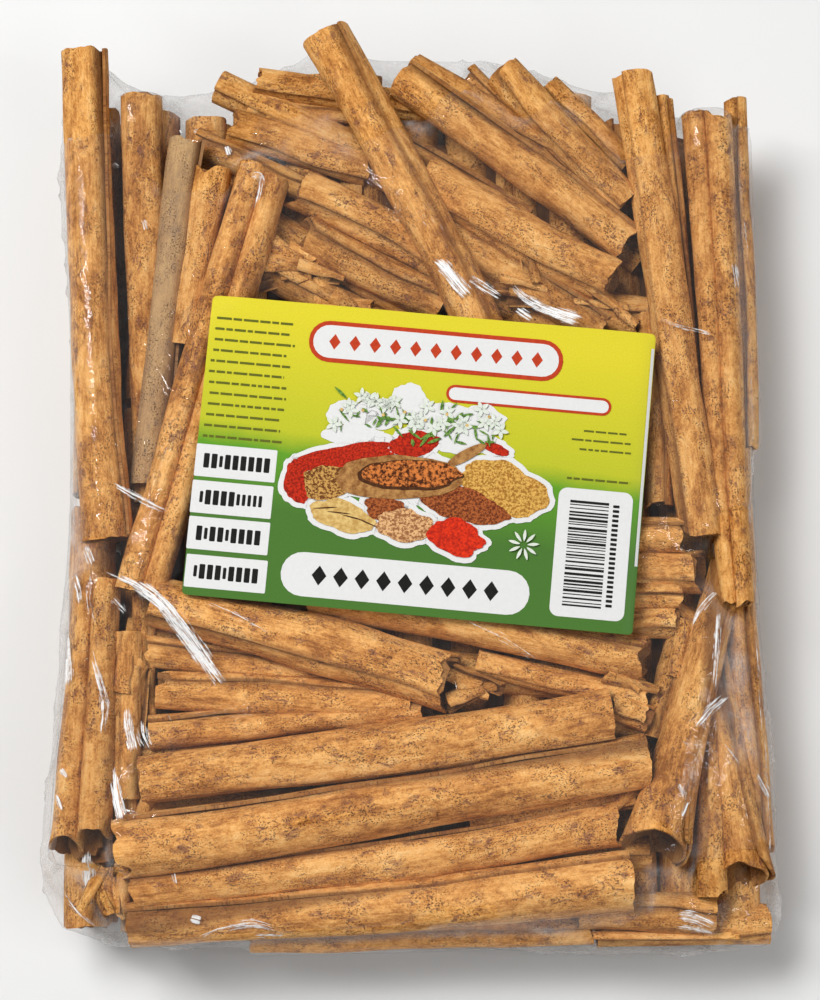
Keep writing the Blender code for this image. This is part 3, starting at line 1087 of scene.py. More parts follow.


# Painted glints: the pleats where the film catches the light, as white ribbons.
GLINT_PLEATS = (
    GlintPleat(((-92, -28), (-81, -33), (-73, -39), (-66, -48), (-59, -58), (-54, -64.5)), (1.0, 4.6), 1.0),
    GlintPleat(((-66, -41), (-62, -50), (-60, -58)), (1.4, 1.0), 0.55),
    GlintPleat(((-63, -37), (-52, -42), (-39, -49)), (1.6, 1.0), 0.6),
    GlintPleat(((-84, -68), (-83.6, -75), (-81.5, -83)), (1.3, 2.0), 0.95),
    GlintPleat(((-79.5, -73), (-79.4, -77), (-76.5, -82)), (1.4, 1.6), 0.85),
    GlintPleat(((-87.5, -86), (-86.5, -94), (-84, -103.5)), (1.4, 1.8), 0.95),
    GlintPleat(((-74, -68), (-70, -72), (-69, -79)), (1.2, 1.2), 0.45),
    GlintPleat(((-65, -138), (-58, -134.8), (-46.5, -132), (-40, -134), (-36, -136)), (1.0, 1.2), 0.8),
    GlintPleat(((-46, -136.2), (-40, -136), (-35, -136.8)), (0.7, 0.8), 0.75),
    GlintPleat(((-64.6, -130.6), (-61, -131.6)), (1.6, 1.3), 0.95),
    GlintPleat(((-69.4, -117.5), (-68.6, -121)), (1.0, 0.8), 0.8),
    GlintPleat(((-102, 113.5), (-99.5, 109), (-97, 105.5)), (1.6, 1.0), 0.62),
    GlintPleat(((-91.2, 97), (-88.8, 95.2)), (1.0, 0.7), 0.8),
    GlintPleat(((-49.4, 90), (-47.6, 92.4), (-45, 92.2), (-45.4, 87), (-47, 81.5)), (1.3, 0.8), 0.78),
    GlintPleat(((-57, 105), (-55.8, 101.4)), (1.5, 1.2), 0.95),
    GlintPleat(((-81.2, 79.4), (-80.2, 75.4)), (1.6, 1.2), 0.68),
    GlintPleat(((-69.6, 102.4), (-65.8, 104)), (0.7, 0.6), 0.85),
    GlintPleat(((-71.4, 110.4), (-70.6, 109.2)), (0.8, 0.8), 0.85),
    GlintPleat(((-67, 110.6), (-65.8, 109.6)), (0.8, 0.8), 0.85),
    GlintPleat(((-50.5, 117), (-48.5, 111), (-50.5, 105)), (1.2, 0.9), 0.5),
    GlintPleat(((-0.6, 124.4), (4.4, 121.8)), (1.5, 1.6), 0.75),
    GlintPleat(((-13.6, 123.6), (-9.8, 120)), (1.4, 1.0), 0.55),
    GlintPleat(((7, 66), (10.5, 63.5), (14, 58.5), (18.5, 53.5)), (1.4, 3.4), 1.0),
    GlintPleat(((17, 60.5), (22, 57.5), (28, 53.5)), (1.8, 1.2), 0.75),
    GlintPleat(((30, 59.5), (33.5, 54.5), (40, 50.8), (46, 48.6), (53, 46.2)), (1.2, 2.8), 1.0),
    GlintPleat(((31.6, 50.6), (37, 47)), (1.6, 1.2), 0.9),
    GlintPleat(((0.5, 87), (6, 78.5), (13.5, 66.5)), (2.8, 3.6), 0.42),
    GlintPleat(((-97.8, -20), (-95, -27)), (2.0, 1.2), 0.85),
    GlintPleat(((-102, -28), (-99, -34), (-98.5, -39)), (1.2, 2.0), 0.85),
    GlintPleat(((-96.3, -28), (-95.4, -38), (-94, -47)), (1.6, 1.6), 0.50),
    GlintPleat(((-102.8, -45), (-102.4, -54), (-102, -64)), (1.4, 2.2), 0.90),
    GlintPleat(((-94.7, -52), (-92.6, -60), (-90.3, -67), (-91.4, -79)), (1.4, 1.2), 0.85),
    GlintPleat(((-89.4, -36.6), (-84.6, -41.4)), (2.2, 1.8), 0.62),
    GlintPleat(((-103.6, -87), (-101.2, -90)), (1.8, 0.9), 0.85),
    GlintPleat(((-105, -94.6), (-102.6, -99.6)), (0.9, 1.0), 0.8),
    GlintPleat(((-94.4, -110), (-95.2, -119), (-95.2, -129)), (2.0, 2.0), 0.95),
    GlintPleat(((-107, -112), (-106, -120), (-100, -129), (-90, -136)), (0.8, 1.0), 0.65),
    GlintPleat(((-90, -2), (-81, -7), (-70, -12.5)), (1.8, 0.8), 0.8),
    GlintPleat(((73, 48), (84, 45), (93, 43)), (0.9, 0.9), 0.6),
    GlintPleat(((82.8, -46.4), (85.6, -41), (89, -36.8), (93.4, -33.4), (98.4, -30.4)), (0.9, 1.2), 0.9),
    GlintPleat(((92, -37), (91, -50), (89.6, -66)), (0.9, 0.9), 0.85),
    GlintPleat(((95.8, -32.6), (96.4, -39)), (1.2, 1.0), 0.75),
    GlintPleat(((83.2, -76.4), (88.2, -70.4), (95, -65)), (1.0, 1.4), 0.9),
    GlintPleat(((95.4, -66), (99.9, -76.4)), (0.6, 0.7), 0.7),
    GlintPleat(((92, -79), (98.6, -86.8)), (0.6, 0.7), 0.7),
    GlintPleat(((102.8, -88), (107.8, -96)), (1.2, 1.0), 0.8),
    GlintPleat(((80, -78.4), (84.8, -81.6)), (1.4, 1.2), 0.55),
    GlintPleat(((78.6, -91.4), (80, -95.6)), (1.4, 1.0), 0.75),
    GlintPleat(((82, -97), (79.8, -102)), (1.4, 1.2), 0.75),
    GlintPleat(((98, 66), (99, 57)), (1.8, 1.6), 0.7),
    GlintPleat(((78, -130), (84, -130.4), (91, -133.6)), (2.2, 2.4), 0.85),
    GlintPleat(((78, -133.6), (84, -134), (91, -135.4)), (1.2, 1.2), 0.75),
    GlintPleat(((15, -43), (28, -49), (39, -57)), (1.0, 1.4), 0.5),
    GlintPleat(((103.6, -30), (105, -62), (106.4, -92), (107.4, -124)), (0.7, 0.8), 0.55),
    GlintPleat(((100, 112), (104, 60), (104, -20)), (0.8, 0.8), 0.45),
    GlintPleat(((-104, 128), (-107, 100), (-105, 40)), (0.7, 0.7), 0.45),
)


@dataclass
class FilmGlintPleats:
    """Painted glints: the gathered pleats, as narrow white ribbons that lie on the film.

    Attributes:
        cell: The length of a ribbon's cells.
        rows: How many cells it is wide.
        lift: How far it stays off the film.
        crown: How much higher its middle is.
        level: The least upward part of the film's normal that still carries a ribbon.
    """

    cell: float = 0.8 * MM
    rows: int = 8
    lift: float = 0.10 * MM
    crown: float = 0.35 * MM
    level: float = 0.35

    def add(self, bm: bmesh.types.BMesh, pleat: GlintPleat, film: BVHTree, seed: int) -> None:
        """Lays one ribbon on the film.

        Args:
            bm: The mesh that it joins.
            pleat: The pleat.
            film: The film's surface.
            seed: Which strands it has.
        """
        knots = BAG_FOOT[:2] + np.array(pleat.route) * MM
        marks = np.concatenate([[0], np.cumsum(np.linalg.norm(np.diff(knots, axis=0), axis=1))])
        columns = max(6, round(marks[-1] / self.cell))
        shares = np.linspace(0, 1, columns + 1)
        curve = np.column_stack([np.interp(shares * marks[-1], marks, knots[:, i]) for i in (0, 1)])
        for _ in range(2 * columns // len(knots)):
            curve[1:-1] = (curve[:-2] + 2 * curve[1:-1] + curve[2:]) / 4
        heading = np.gradient(curve, axis=0)
        heading /= np.linalg.norm(heading, axis=1, keepdims=True)
        side = np.column_stack([-heading[:, 1], heading[:, 0]])
        width = (pleat.width[0] + (pleat.width[1] - pleat.width[0]) * shares) * MM
        waver = 1 + 0.35 * smooth_noise(shares * marks[-1] / (5 * MM) + seed * 3.7, 0 * shares, 63)
        half = width * waver * 1.35 * np.sin(math.pi * (0.04 + 0.92 * shares)) ** 0.6
        verts = bmesh.ops.create_grid(bm, x_segments=columns, y_segments=self.rows, size=0.5)["verts"]
        strand = bm.verts.layers.float_vector.get("strand")
        glint_whiteness = bm.verts.layers.float.get("glint_whiteness")
        bare = []
        for vert in verts:
            step = round((vert.co.x + 0.5) * columns)
            across = 2 * vert.co.y
            spot = curve[step] + side[step] * half[step] * across
            hit, normal = film.ray_cast(Vector((*spot, 0.2)), Vector((0, 0, -1)))[:2]
            if hit is None or abs(normal.z) < self.level:
                bare.append(vert)
                continue
            height = self.lift + self.crown * (1 - across * across)
            vert.co = Vector((*spot, hit.z + height))
            vert[strand] = (shares[step] * marks[-1] / MM, half[step] * across / MM, seed * 7.3)
            ends = min(1.0, 5 * min(shares[step], 1 - shares[step]) + 0.2)
            vert[glint_whiteness] = pleat.white * ends * (1 - abs(across) ** 3.5)
        bmesh.ops.delete(bm, geom=bare, context="VERTS")

    def build(self, film: bpy.types.Object) -> bpy.types.Object:
        """Makes all the painted glints.

        Args:
            film: The film that they lie on.

        Returns:
            The piece.
        """
        surface = BVHTree.FromPolygons(
            [vert.co for vert in film.data.vertices],
            [face.vertices for face in film.data.polygons],
        )
        bm = bmesh.new()
        bm.verts.layers.float_vector.new("strand")
        bm.verts.layers.float.new("glint_whiteness")
        for seed, pleat in enumerate(GLINT_PLEATS):
            self.add(bm, pleat, surface, seed)
        return keep(finish_mesh("film_pleats_painted_glints", bm, GlintPleatFinish().build()))


@dataclass
class FilmSkin:
    """The film round the quills: the pack's own outline, drawn in over them.

    It doesn't enclose them all. Its points leave a quill by the shortest way, which at an end can be
    sideways, so some quills come through, mostly at their ends. It isn't kept off the half buried
    quills and the chips at all.

    Attributes:
        cell: The size of its cells.
        steps: How many times it is evened out and pushed off the quills.
        evening: How far each step moves a point towards the middle of its neighbours, as a share.
        gap: How far its points are pushed off the quills.
        drift: How far evening may carry it from the solid's own surface.
        label_gap: How far it stays under the label.
        wrinkle: The height of its wrinkles.
        finish: Its look.
    """

    cell: float = 1.75 * MM
    steps: int = 26
    evening: float = 0.5
    gap: float = 0.55 * MM
    drift: float = 7 * MM
    label_gap: float = 0.25 * MM
    wrinkle: float = 0.9 * MM
    finish: FilmFinish = field(default_factory=FilmFinish)

    def outline_mesh(self) -> bpy.types.Mesh:
        """Remeshes a merged copy of the pack's solid into even cells.

        Returns:
            The new mesh.
        """
        bm = bmesh.new()
        bm.from_mesh(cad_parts["bag"].data)
        bmesh.ops.remove_doubles(bm, verts=bm.verts[:], dist=0.01 * MM)
        mesh = bpy.data.meshes.new("outline")
        bm.to_mesh(mesh)
        bm.free()
        rough = bpy.data.objects.new("outline", mesh)
        bpy.context.scene.collection.objects.link(rough)
        even = rough.modifiers.new("even", "REMESH")
        even.mode = "VOXEL"
        even.voxel_size = self.cell
        even.adaptivity = 0.0
        graph = bpy.context.evaluated_depsgraph_get()
        result = bpy.data.meshes.new_from_object(rough.evaluated_get(graph))
        bpy.data.objects.remove(rough)
        bpy.data.meshes.remove(mesh)
        return result

    @staticmethod
    def off_quill(points: np.ndarray, quill: Quill, round_end: float = 2.5 * MM) -> tuple:
        """How far points are from a quill, taken as a tapered rod, and which way is out.

        Args:
            points: The points.
            quill: The quill.
            round_end: How rounded the rod's rims are.

        Returns:
            The distances and the directions.
        """
        start = in_metres(quill.start)
        axis = in_metres(quill.end) - start
        length = float(np.linalg.norm(axis))
        axis = axis / length
        offset = points - start
        run = offset @ axis
        outward = offset - run[:, None] * axis
        reach = np.linalg.norm(outward, axis=1) + 1e-9
        outward = outward / reach[:, None]
        low, high = quill.radius
        radius = (low + (high - low) * np.clip(run / length, 0, 1)) * MM * 1.05
        past_side = reach - (radius - round_end)
        past_end = np.abs(run - length / 2) - (length / 2 - round_end)
        corner = np.hypot(np.maximum(past_side, 0), np.maximum(past_end, 0))
        distance = np.minimum(np.maximum(past_side, past_end), 0) + corner - round_end
        both = (past_side > 0) & (past_end > 0)
        side = np.where(both, past_side / (corner + 1e-9), (past_side > past_end) * 1.0)
        end = np.where(both, past_end / (corner + 1e-9), 1.0 - side)
        endward = np.sign(run - length / 2)[:, None] * axis
        return distance, side[:, None] * outward + end[:, None] * endward

    def near(self, points: np.ndarray, quill: Quill) -> np.ndarray:
        """Which points are anywhere near a quill.

        Args:
            points: The points.
            quill: The quill.

        Returns:
            Their indices.
        """
        ends = in_metres([quill.start, quill.end])
        margin = (max(quill.radius) + 4.0) * MM
        inside = (points > ends.min(axis=0) - margin) & (points < ends.max(axis=0) + margin)
        return np.nonzero(inside.all(axis=1))[0]

    def draw_over(self, points: np.ndarray, edges: np.ndarray, quills: list[Quill]) -> tuple:
        """Evens the film out, pushes its points off the quills and keeps it under the label.

        Args:
            points: The film's points.
            edges: Pairs of their indices.
            quills: The quills at the surface and in the lower layers.

        Returns:
            The new points, and how far each is from the nearest quill.
        """
        first = points.copy()
        degree = np.bincount(edges.ravel(), minlength=len(points))[:, None]
        nearby = [(quill, self.near(points, quill)) for quill in quills]
        label_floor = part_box("label")[0].z
        for _ in range(self.steps):
            total = np.empty_like(points)
            for axis in range(3):
                other = np.bincount(edges[:, 0], points[edges[:, 1], axis], len(points))
                total[:, axis] = other + np.bincount(edges[:, 1], points[edges[:, 0], axis], len(points))
            points = points + self.evening * (total / degree - points)
            drift = points - first
            far = np.linalg.norm(drift, axis=1, keepdims=True) + 1e-9
            points = first + drift * np.minimum(1.0, self.drift / far)
            for quill, around in nearby:
                distance, way = self.off_quill(points[around], quill)
                points[around] += np.maximum(self.gap - distance, 0)[:, None] * way
            stuck = LABEL.covers(points, 1.5 * MM) & (first[:, 2] > 0.6 * label_floor)
            points[stuck, 2] = np.minimum(points[stuck, 2], label_floor - self.label_gap)
            points[:, 2] = np.maximum(points[:, 2], BAG_LOW.z)
        free = np.full(len(points), 10 * MM)
        for quill, around in nearby:
            distance, _ = self.off_quill(points[around], quill)
            free[around] = np.minimum(free[around], distance)
        return points, free

    def build(self, quills: list[Quill]) -> bpy.types.Object:
        """Makes the film.

        Args:
            quills: The quills at the surface and in the lower layers.

        Returns:
            The piece.
        """
        mesh = self.outline_mesh()
        points = np.empty(len(mesh.vertices) * 3)
        mesh.vertices.foreach_get("co", points)
        points = points.reshape(-1, 3)
        edges = np.empty(len(mesh.edges) * 2, int)
        mesh.edges.foreach_get("vertices", edges)
        edges = edges.reshape(-1, 2)
        points, free = self.draw_over(points, edges, quills)
        mesh.vertices.foreach_set("co", points.ravel())
        mesh.update()
        normals = np.empty(len(points) * 3)
        mesh.vertex_normals.foreach_get("vector", normals)
        normals = normals.reshape(-1, 3)
        loose = np.clip((free - 0.8 * MM) / (3 * MM), 0, 1)
        covered = LABEL.covers(points, 2.0 * MM) & (points[:, 2] > 30 * MM)
        loose = np.where(covered | (points[:, 2] < 2 * MM), 0.0, loose)
        tilted = np.clip((0.94 - np.abs(normals[:, 2])) / 0.3, 0, 1)
        margin = loose * tilted
        x, y, z = points.T
        run = 1 - 2 * np.abs(smooth_noise(x / 0.011, (y + z) / 0.027, 61))
        cross = 1 - 2 * np.abs(smooth_noise((x + z) / 0.017, y / 0.008, 62))
        wrinkle = np.maximum(run, 0) ** 3 + np.maximum(cross, 0) ** 3
        rise = self.wrinkle * (0.25 * loose + 0.75 * margin) * (wrinkle - 0.25)
        points = points + normals * rise[:, None]
        points[:, 2] = np.maximum(points[:, 2], 0.0)
        # Painted sheen with some real haze: milky white where the film hangs free and tilts, most on
        # wrinkle crests.
        haze_and_sheen = np.clip(0.02 + 0.16 * margin + 0.35 * margin * wrinkle, 0, 0.5)
        haze_and_sheen = np.where(covered, 0.0, haze_and_sheen)
        mesh.vertices.foreach_set("co", points.ravel())
        mesh.attributes.new("haze_and_sheen", "FLOAT", "POINT").data.foreach_set(
            "value", haze_and_sheen.astype(np.float32)
        )
        mesh.materials.clear()
        mesh.materials.append(self.finish.build())
        mesh.shade_smooth()
        mesh.name = "film"
        piece = bpy.data.objects.new("film", mesh)
        bpy.context.scene.collection.objects.link(piece)
        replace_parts(keep(piece), "bag")
        return piece


# ---------------------------------------------------------------- label


@dataclass(frozen=True)
class PaperFinish:
    """Glossy printed paper, fading from yellow at the head to green at the foot."""

    green: Colour = (0.070, 0.178, 0.030)
    leaf: Colour = (0.115, 0.32, 0.022)
    lime: Colour = (0.50, 0.52, 0.025)
    yellow: Colour = (0.72, 0.62, 0.030)
    roughness: float = 0.32

    def build(self) -> bpy.types.Material:
        """Makes the material. The fade runs along the label's own upward direction.

        Returns:
            The material.
        """
        material, n, shader = new_material("label_paper_print")
        place = n.add("ShaderNodeTexCoord").outputs["Object"]
        turned = n.add(
            "ShaderNodeMapping",
            {"Vector": place, "Location": (*(-Vector(LABEL.centre)), 0.0)}, vector_type="POINT",
        ).outputs[0]
        straight = n.add(
            "ShaderNodeVectorRotate", {"Vector": turned, "Angle": -LABEL.turn},
            rotation_type="Z_AXIS",
        ).outputs[0]
        split = n.add("ShaderNodeSeparateXYZ", {0: straight})
        blur = n.noise(n.stretch(straight, (60.0, 60.0, 1.0)), 3.0)
        height = n.maths("MULTIPLY_ADD", split.outputs["Y"], 1 / LABEL.size[1], 0.5)
        tilt = n.maths("MULTIPLY_ADD", split.outputs["X"], 0.55, height)
        wave = n.maths("MULTIPLY_ADD", blur, 0.05, tilt)
        fade = n.ramp(
            wave,
            [(0.30, self.green), (0.50, self.leaf), (0.575, self.lime), (0.97, self.yellow)],
        )
        dots = n.noise(n.stretch(straight, (2600.0, 2600.0, 1.0)), 1.0)
        grey = n.band(dots, 0.3, 0.7, (0.95, 1.04))
        inked = n.add("ShaderNodeVectorMath", {0: fade, 3: grey}, operation="SCALE").outputs[0]
        n.tree.links.new(inked, shader.inputs["Base Color"])
        shader.inputs["Roughness"].default_value = self.roughness
        shader.inputs["Specular IOR Level"].default_value = 0.4
        shader.inputs["Coat Weight"].default_value = 0.25
        shader.inputs["Coat Roughness"].default_value = 0.12
        return material


@dataclass(frozen=True)
class InkFinish:
    """One printed colour, slightly uneven.

    Attributes:
        name: The material's name.
        light: The colour where the ink is thin.
        dark: The colour where it is thick.
        grain: How many steps of unevenness there are to a metre.
        contrast: How sharply the two colours part, from 0 to 1.
    """

    name: str
    light: Colour
    dark: Colour
    grain: float = 900.0
    contrast: float = 0.3

    def build(self) -> bpy.types.Material:
        """Makes the material.

        Returns:
            The material.
        """
        material, n, shader = new_material(self.name)
        place = n.add("ShaderNodeTexCoord").outputs["Object"]
        value = n.noise(n.stretch(place, (self.grain,) * 3), 4.0, 0.7)
        half = 0.25 * (1 - self.contrast) + 0.02
        colour = n.ramp(value, [(0.5 - half, self.dark), (0.5 + half, self.light)])
        n.tree.links.new(colour, shader.inputs["Base Color"])
        shader.inputs["Roughness"].default_value = 0.34
        shader.inputs["Specular IOR Level"].default_value = 0.35
        return material


class Ink(Enum):
    """The colours that the label is printed in."""

    WHITE = InkFinish("ink_white", (0.76, 0.755, 0.74), (0.72, 0.715, 0.70))
    BLACK = InkFinish("ink_black", (0.018, 0.018, 0.016), (0.008, 0.008, 0.008))
    OLIVE = InkFinish("ink_olive", (0.16, 0.17, 0.02), (0.08, 0.09, 0.015), 3000.0)
    RED = InkFinish("ink_red_rim", (0.56, 0.060, 0.018), (0.42, 0.038, 0.014))
    CHILLI = InkFinish("ink_chilli", (0.60, 0.032, 0.010), (0.22, 0.012, 0.006), 1500.0, 0.7)
    SCARLET = InkFinish("ink_scarlet", (0.78, 0.040, 0.010), (0.36, 0.016, 0.008), 1300.0, 0.6)
    BRICK = InkFinish("ink_brick", (0.42, 0.115, 0.030), (0.12, 0.026, 0.010), 1500.0, 0.8)
    GOLD = InkFinish("ink_gold", (0.74, 0.43, 0.10), (0.34, 0.145, 0.022), 1500.0, 0.8)
    BROWN = InkFinish("ink_brown", (0.60, 0.33, 0.090), (0.13, 0.040, 0.010), 1400.0, 0.9)
    SAND = InkFinish("ink_sand", (0.74, 0.52, 0.19), (0.50, 0.29, 0.080), 700.0, 0.6)
    TAN = InkFinish("ink_tan", (0.76, 0.44, 0.20), (0.30, 0.12, 0.045), 1400.0, 0.9)
    GRAIN = InkFinish("ink_grain", (0.66, 0.20, 0.045), (0.060, 0.016, 0.006), 900.0, 0.8)
    WOOD = InkFinish("ink_wood", (0.50, 0.26, 0.085), (0.22, 0.085, 0.024), 500.0, 0.5)
    SHADE = InkFinish("ink_shade", (0.10, 0.038, 0.014), (0.045, 0.015, 0.006), 1300.0, 0.5)
    LEAF = InkFinish("ink_leaf", (0.20, 0.36, 0.065), (0.040, 0.12, 0.018), 1200.0, 0.6)
    PETAL = InkFinish("ink_petal", (0.78, 0.80, 0.74), (0.60, 0.66, 0.54), 900.0, 0.4)


@dataclass
class Print:
    """The shapes printed in one colour, as thin plates on the label.

    Attributes:
        ink: The colour.
        layer: Its place in the stack of inks, from 1 at the paper.
        bm: The shapes, flat in the label's own plane.
    """

    ink: Ink
    layer: int
    bm: bmesh.types.BMesh = field(default_factory=bmesh.new)

    def place(self, verts: list, size: Place, at: Place, turn: float) -> None:
        """Sizes, turns and moves a new shape.

        Args:
            verts: Its vertices.
            size: Its width and height, in millimetres.
            at: Where its middle goes.
            turn: How far it is turned, in degrees.
        """
        matrix = (
            Matrix.Translation((at[0] * MM, at[1] * MM, 0))
            @ Matrix.Rotation(math.radians(turn), 4, "Z")
            @ Matrix.Diagonal((size[0] * MM, size[1] * MM, 1, 1))
        )
        bmesh.ops.transform(self.bm, matrix=matrix, verts=verts)

    def panel(self, at: Place, size: Place, corner: float = 0.0, turn: float = 0.0) -> None:
        """Adds a rectangle.

        Args:
            at: Its middle.
            size: Its width and height.
            corner: How round its corners are.
            turn: How far it is turned, in degrees.
        """
        made = bmesh.ops.create_grid(self.bm, x_segments=1, y_segments=1, size=0.5)["verts"]
        self.place(made, size, (0, 0), 0)
        if corner > 0:
            made = bmesh.ops.bevel(
                self.bm, geom=made, offset=corner * MM, affect="VERTICES", segments=5,
                profile=0.5, material=-1,
            )["verts"]
        self.place(made, (1 / MM, 1 / MM), at, turn)

    def diamonds(self, at: Place, count: int, step: float, size: Place) -> None:
        """Adds a level row of equal diamonds.

        Args:
            at: The row's middle.
            count: How many there are.
            step: How far apart their middles are.
            size: The width and height of each.
        """
        for order in range(count):
            made = bmesh.ops.create_circle(self.bm, cap_ends=True, segments=4, radius=0.5)["verts"]
            self.place(made, size, (at[0] + step * (order - (count - 1) / 2), at[1]), 0)

    def blob(
        self, at: Place, size: Place, rough: float = 0.12, turn: float = 0.0, seed: int = 1,
        points: int = 40,
    ) -> None:
        """Adds a round patch with an uneven rim.

        Args:
            at: Its middle.
            size: Its width and height.
            rough: How uneven its rim is.
            turn: How far it is turned, in degrees.
            seed: Which rim.
            points: How many points its rim has.
        """
        made = bmesh.ops.create_circle(self.bm, cap_ends=True, segments=points, radius=0.5)["verts"]
        for vert in made:
            way = math.atan2(vert.co.y, vert.co.x)
            ripple = smooth_noise(
                np.array(3 + 1.9 * math.cos(way) + seed * 3.3),
                np.array(3 + 1.9 * math.sin(way) + seed * 1.7), 90,
            )
            fine = smooth_noise(
                np.array(9 + 6 * math.cos(way) + seed), np.array(9 + 6 * math.sin(way)), 91
            )
            vert.co *= 1 + rough * float(ripple) + 0.4 * rough * float(fine)
        self.place(made, size, at, turn)

    def leaf(self, at: Place, length: float, width: float, turn: float) -> None:
        """Adds a pointed oval, such as a leaf or a petal.

        Args:
            at: Its middle.
            length: Its length.
            width: Its width.
            turn: How far it is turned, in degrees.
        """
        made = bmesh.ops.create_circle(self.bm, cap_ends=True, segments=12, radius=0.5)["verts"]
        for vert in made:
            vert.co.y *= 1.6 * (0.25 - vert.co.x ** 2) + 0.35
        self.place(made, (length, width), at, turn)

    def flower(self, at: Place, petals: int, reach: float, size: Place, turn: float) -> None:
        """Adds a ring of petals.

        Args:
            at: The flower's middle.
            petals: How many petals it has.
            reach: How far their middles are from its own.
            size: The length and width of each.
            turn: How far the ring is turned, in degrees.
        """
        for petal in range(petals):
            way = 360 // petals * petal + turn
            heading = math.radians(way)
            spot = (at[0] + reach * math.cos(heading), at[1] + reach * math.sin(heading))
            self.leaf(spot, *size, way)

    def ribbon(self, route: list[Place], width: float, grow: float = 0.0) -> None:
        """Adds a smooth brush stroke along a route.

        Args:
            route: Its points.
            width: Its full width in the middle; it narrows towards its ends.
            grow: How much wider and longer it is made all round.
        """
        knots = np.array(route, float)
        marks = np.linspace(0, len(knots) - 1, 44)
        curve = np.column_stack([np.interp(marks, range(len(knots)), knots[:, i]) for i in (0, 1)])
        for _ in range(14):
            curve[1:-1] = (curve[:-2] + 2 * curve[1:-1] + curve[2:]) / 4
        heading = np.gradient(curve, axis=0)
        heading /= np.linalg.norm(heading, axis=1, keepdims=True)
        curve[0] -= grow * heading[0]
        curve[-1] += grow * heading[-1]
        side = np.column_stack([-heading[:, 1], heading[:, 0]])
        share = np.linspace(0, 1, len(curve))
        half = width / 2 * np.clip(np.sin(math.pi * share), 0.0, 1) ** 0.45 + grow + 0.05
        made = bmesh.ops.create_grid(
            self.bm, x_segments=len(curve) - 1, y_segments=1, size=0.5
        )["verts"]
        for vert in made:
            step = round((vert.co.x + 0.5) * (len(curve) - 1))
            spot = curve[step] + side[step] * half[step] * (2 * vert.co.y)
            vert.co = (spot[0] * MM, spot[1] * MM, 0)

    def finish(self, label: "Label") -> bpy.types.Object:
        """Gives the shapes their thickness and lays them on the label.

        Args:
            label: The label.

        Returns:
            The piece.
        """
        base = label.thickness + self.layer * label.ink_step
        label.lay(self.bm, base, label.ink_step * 0.8)
        name = f"print_{self.layer:02d}_{self.ink.name.lower()}"
        return keep(finish_mesh(name, self.bm, self.ink.value.build(), 30.0))


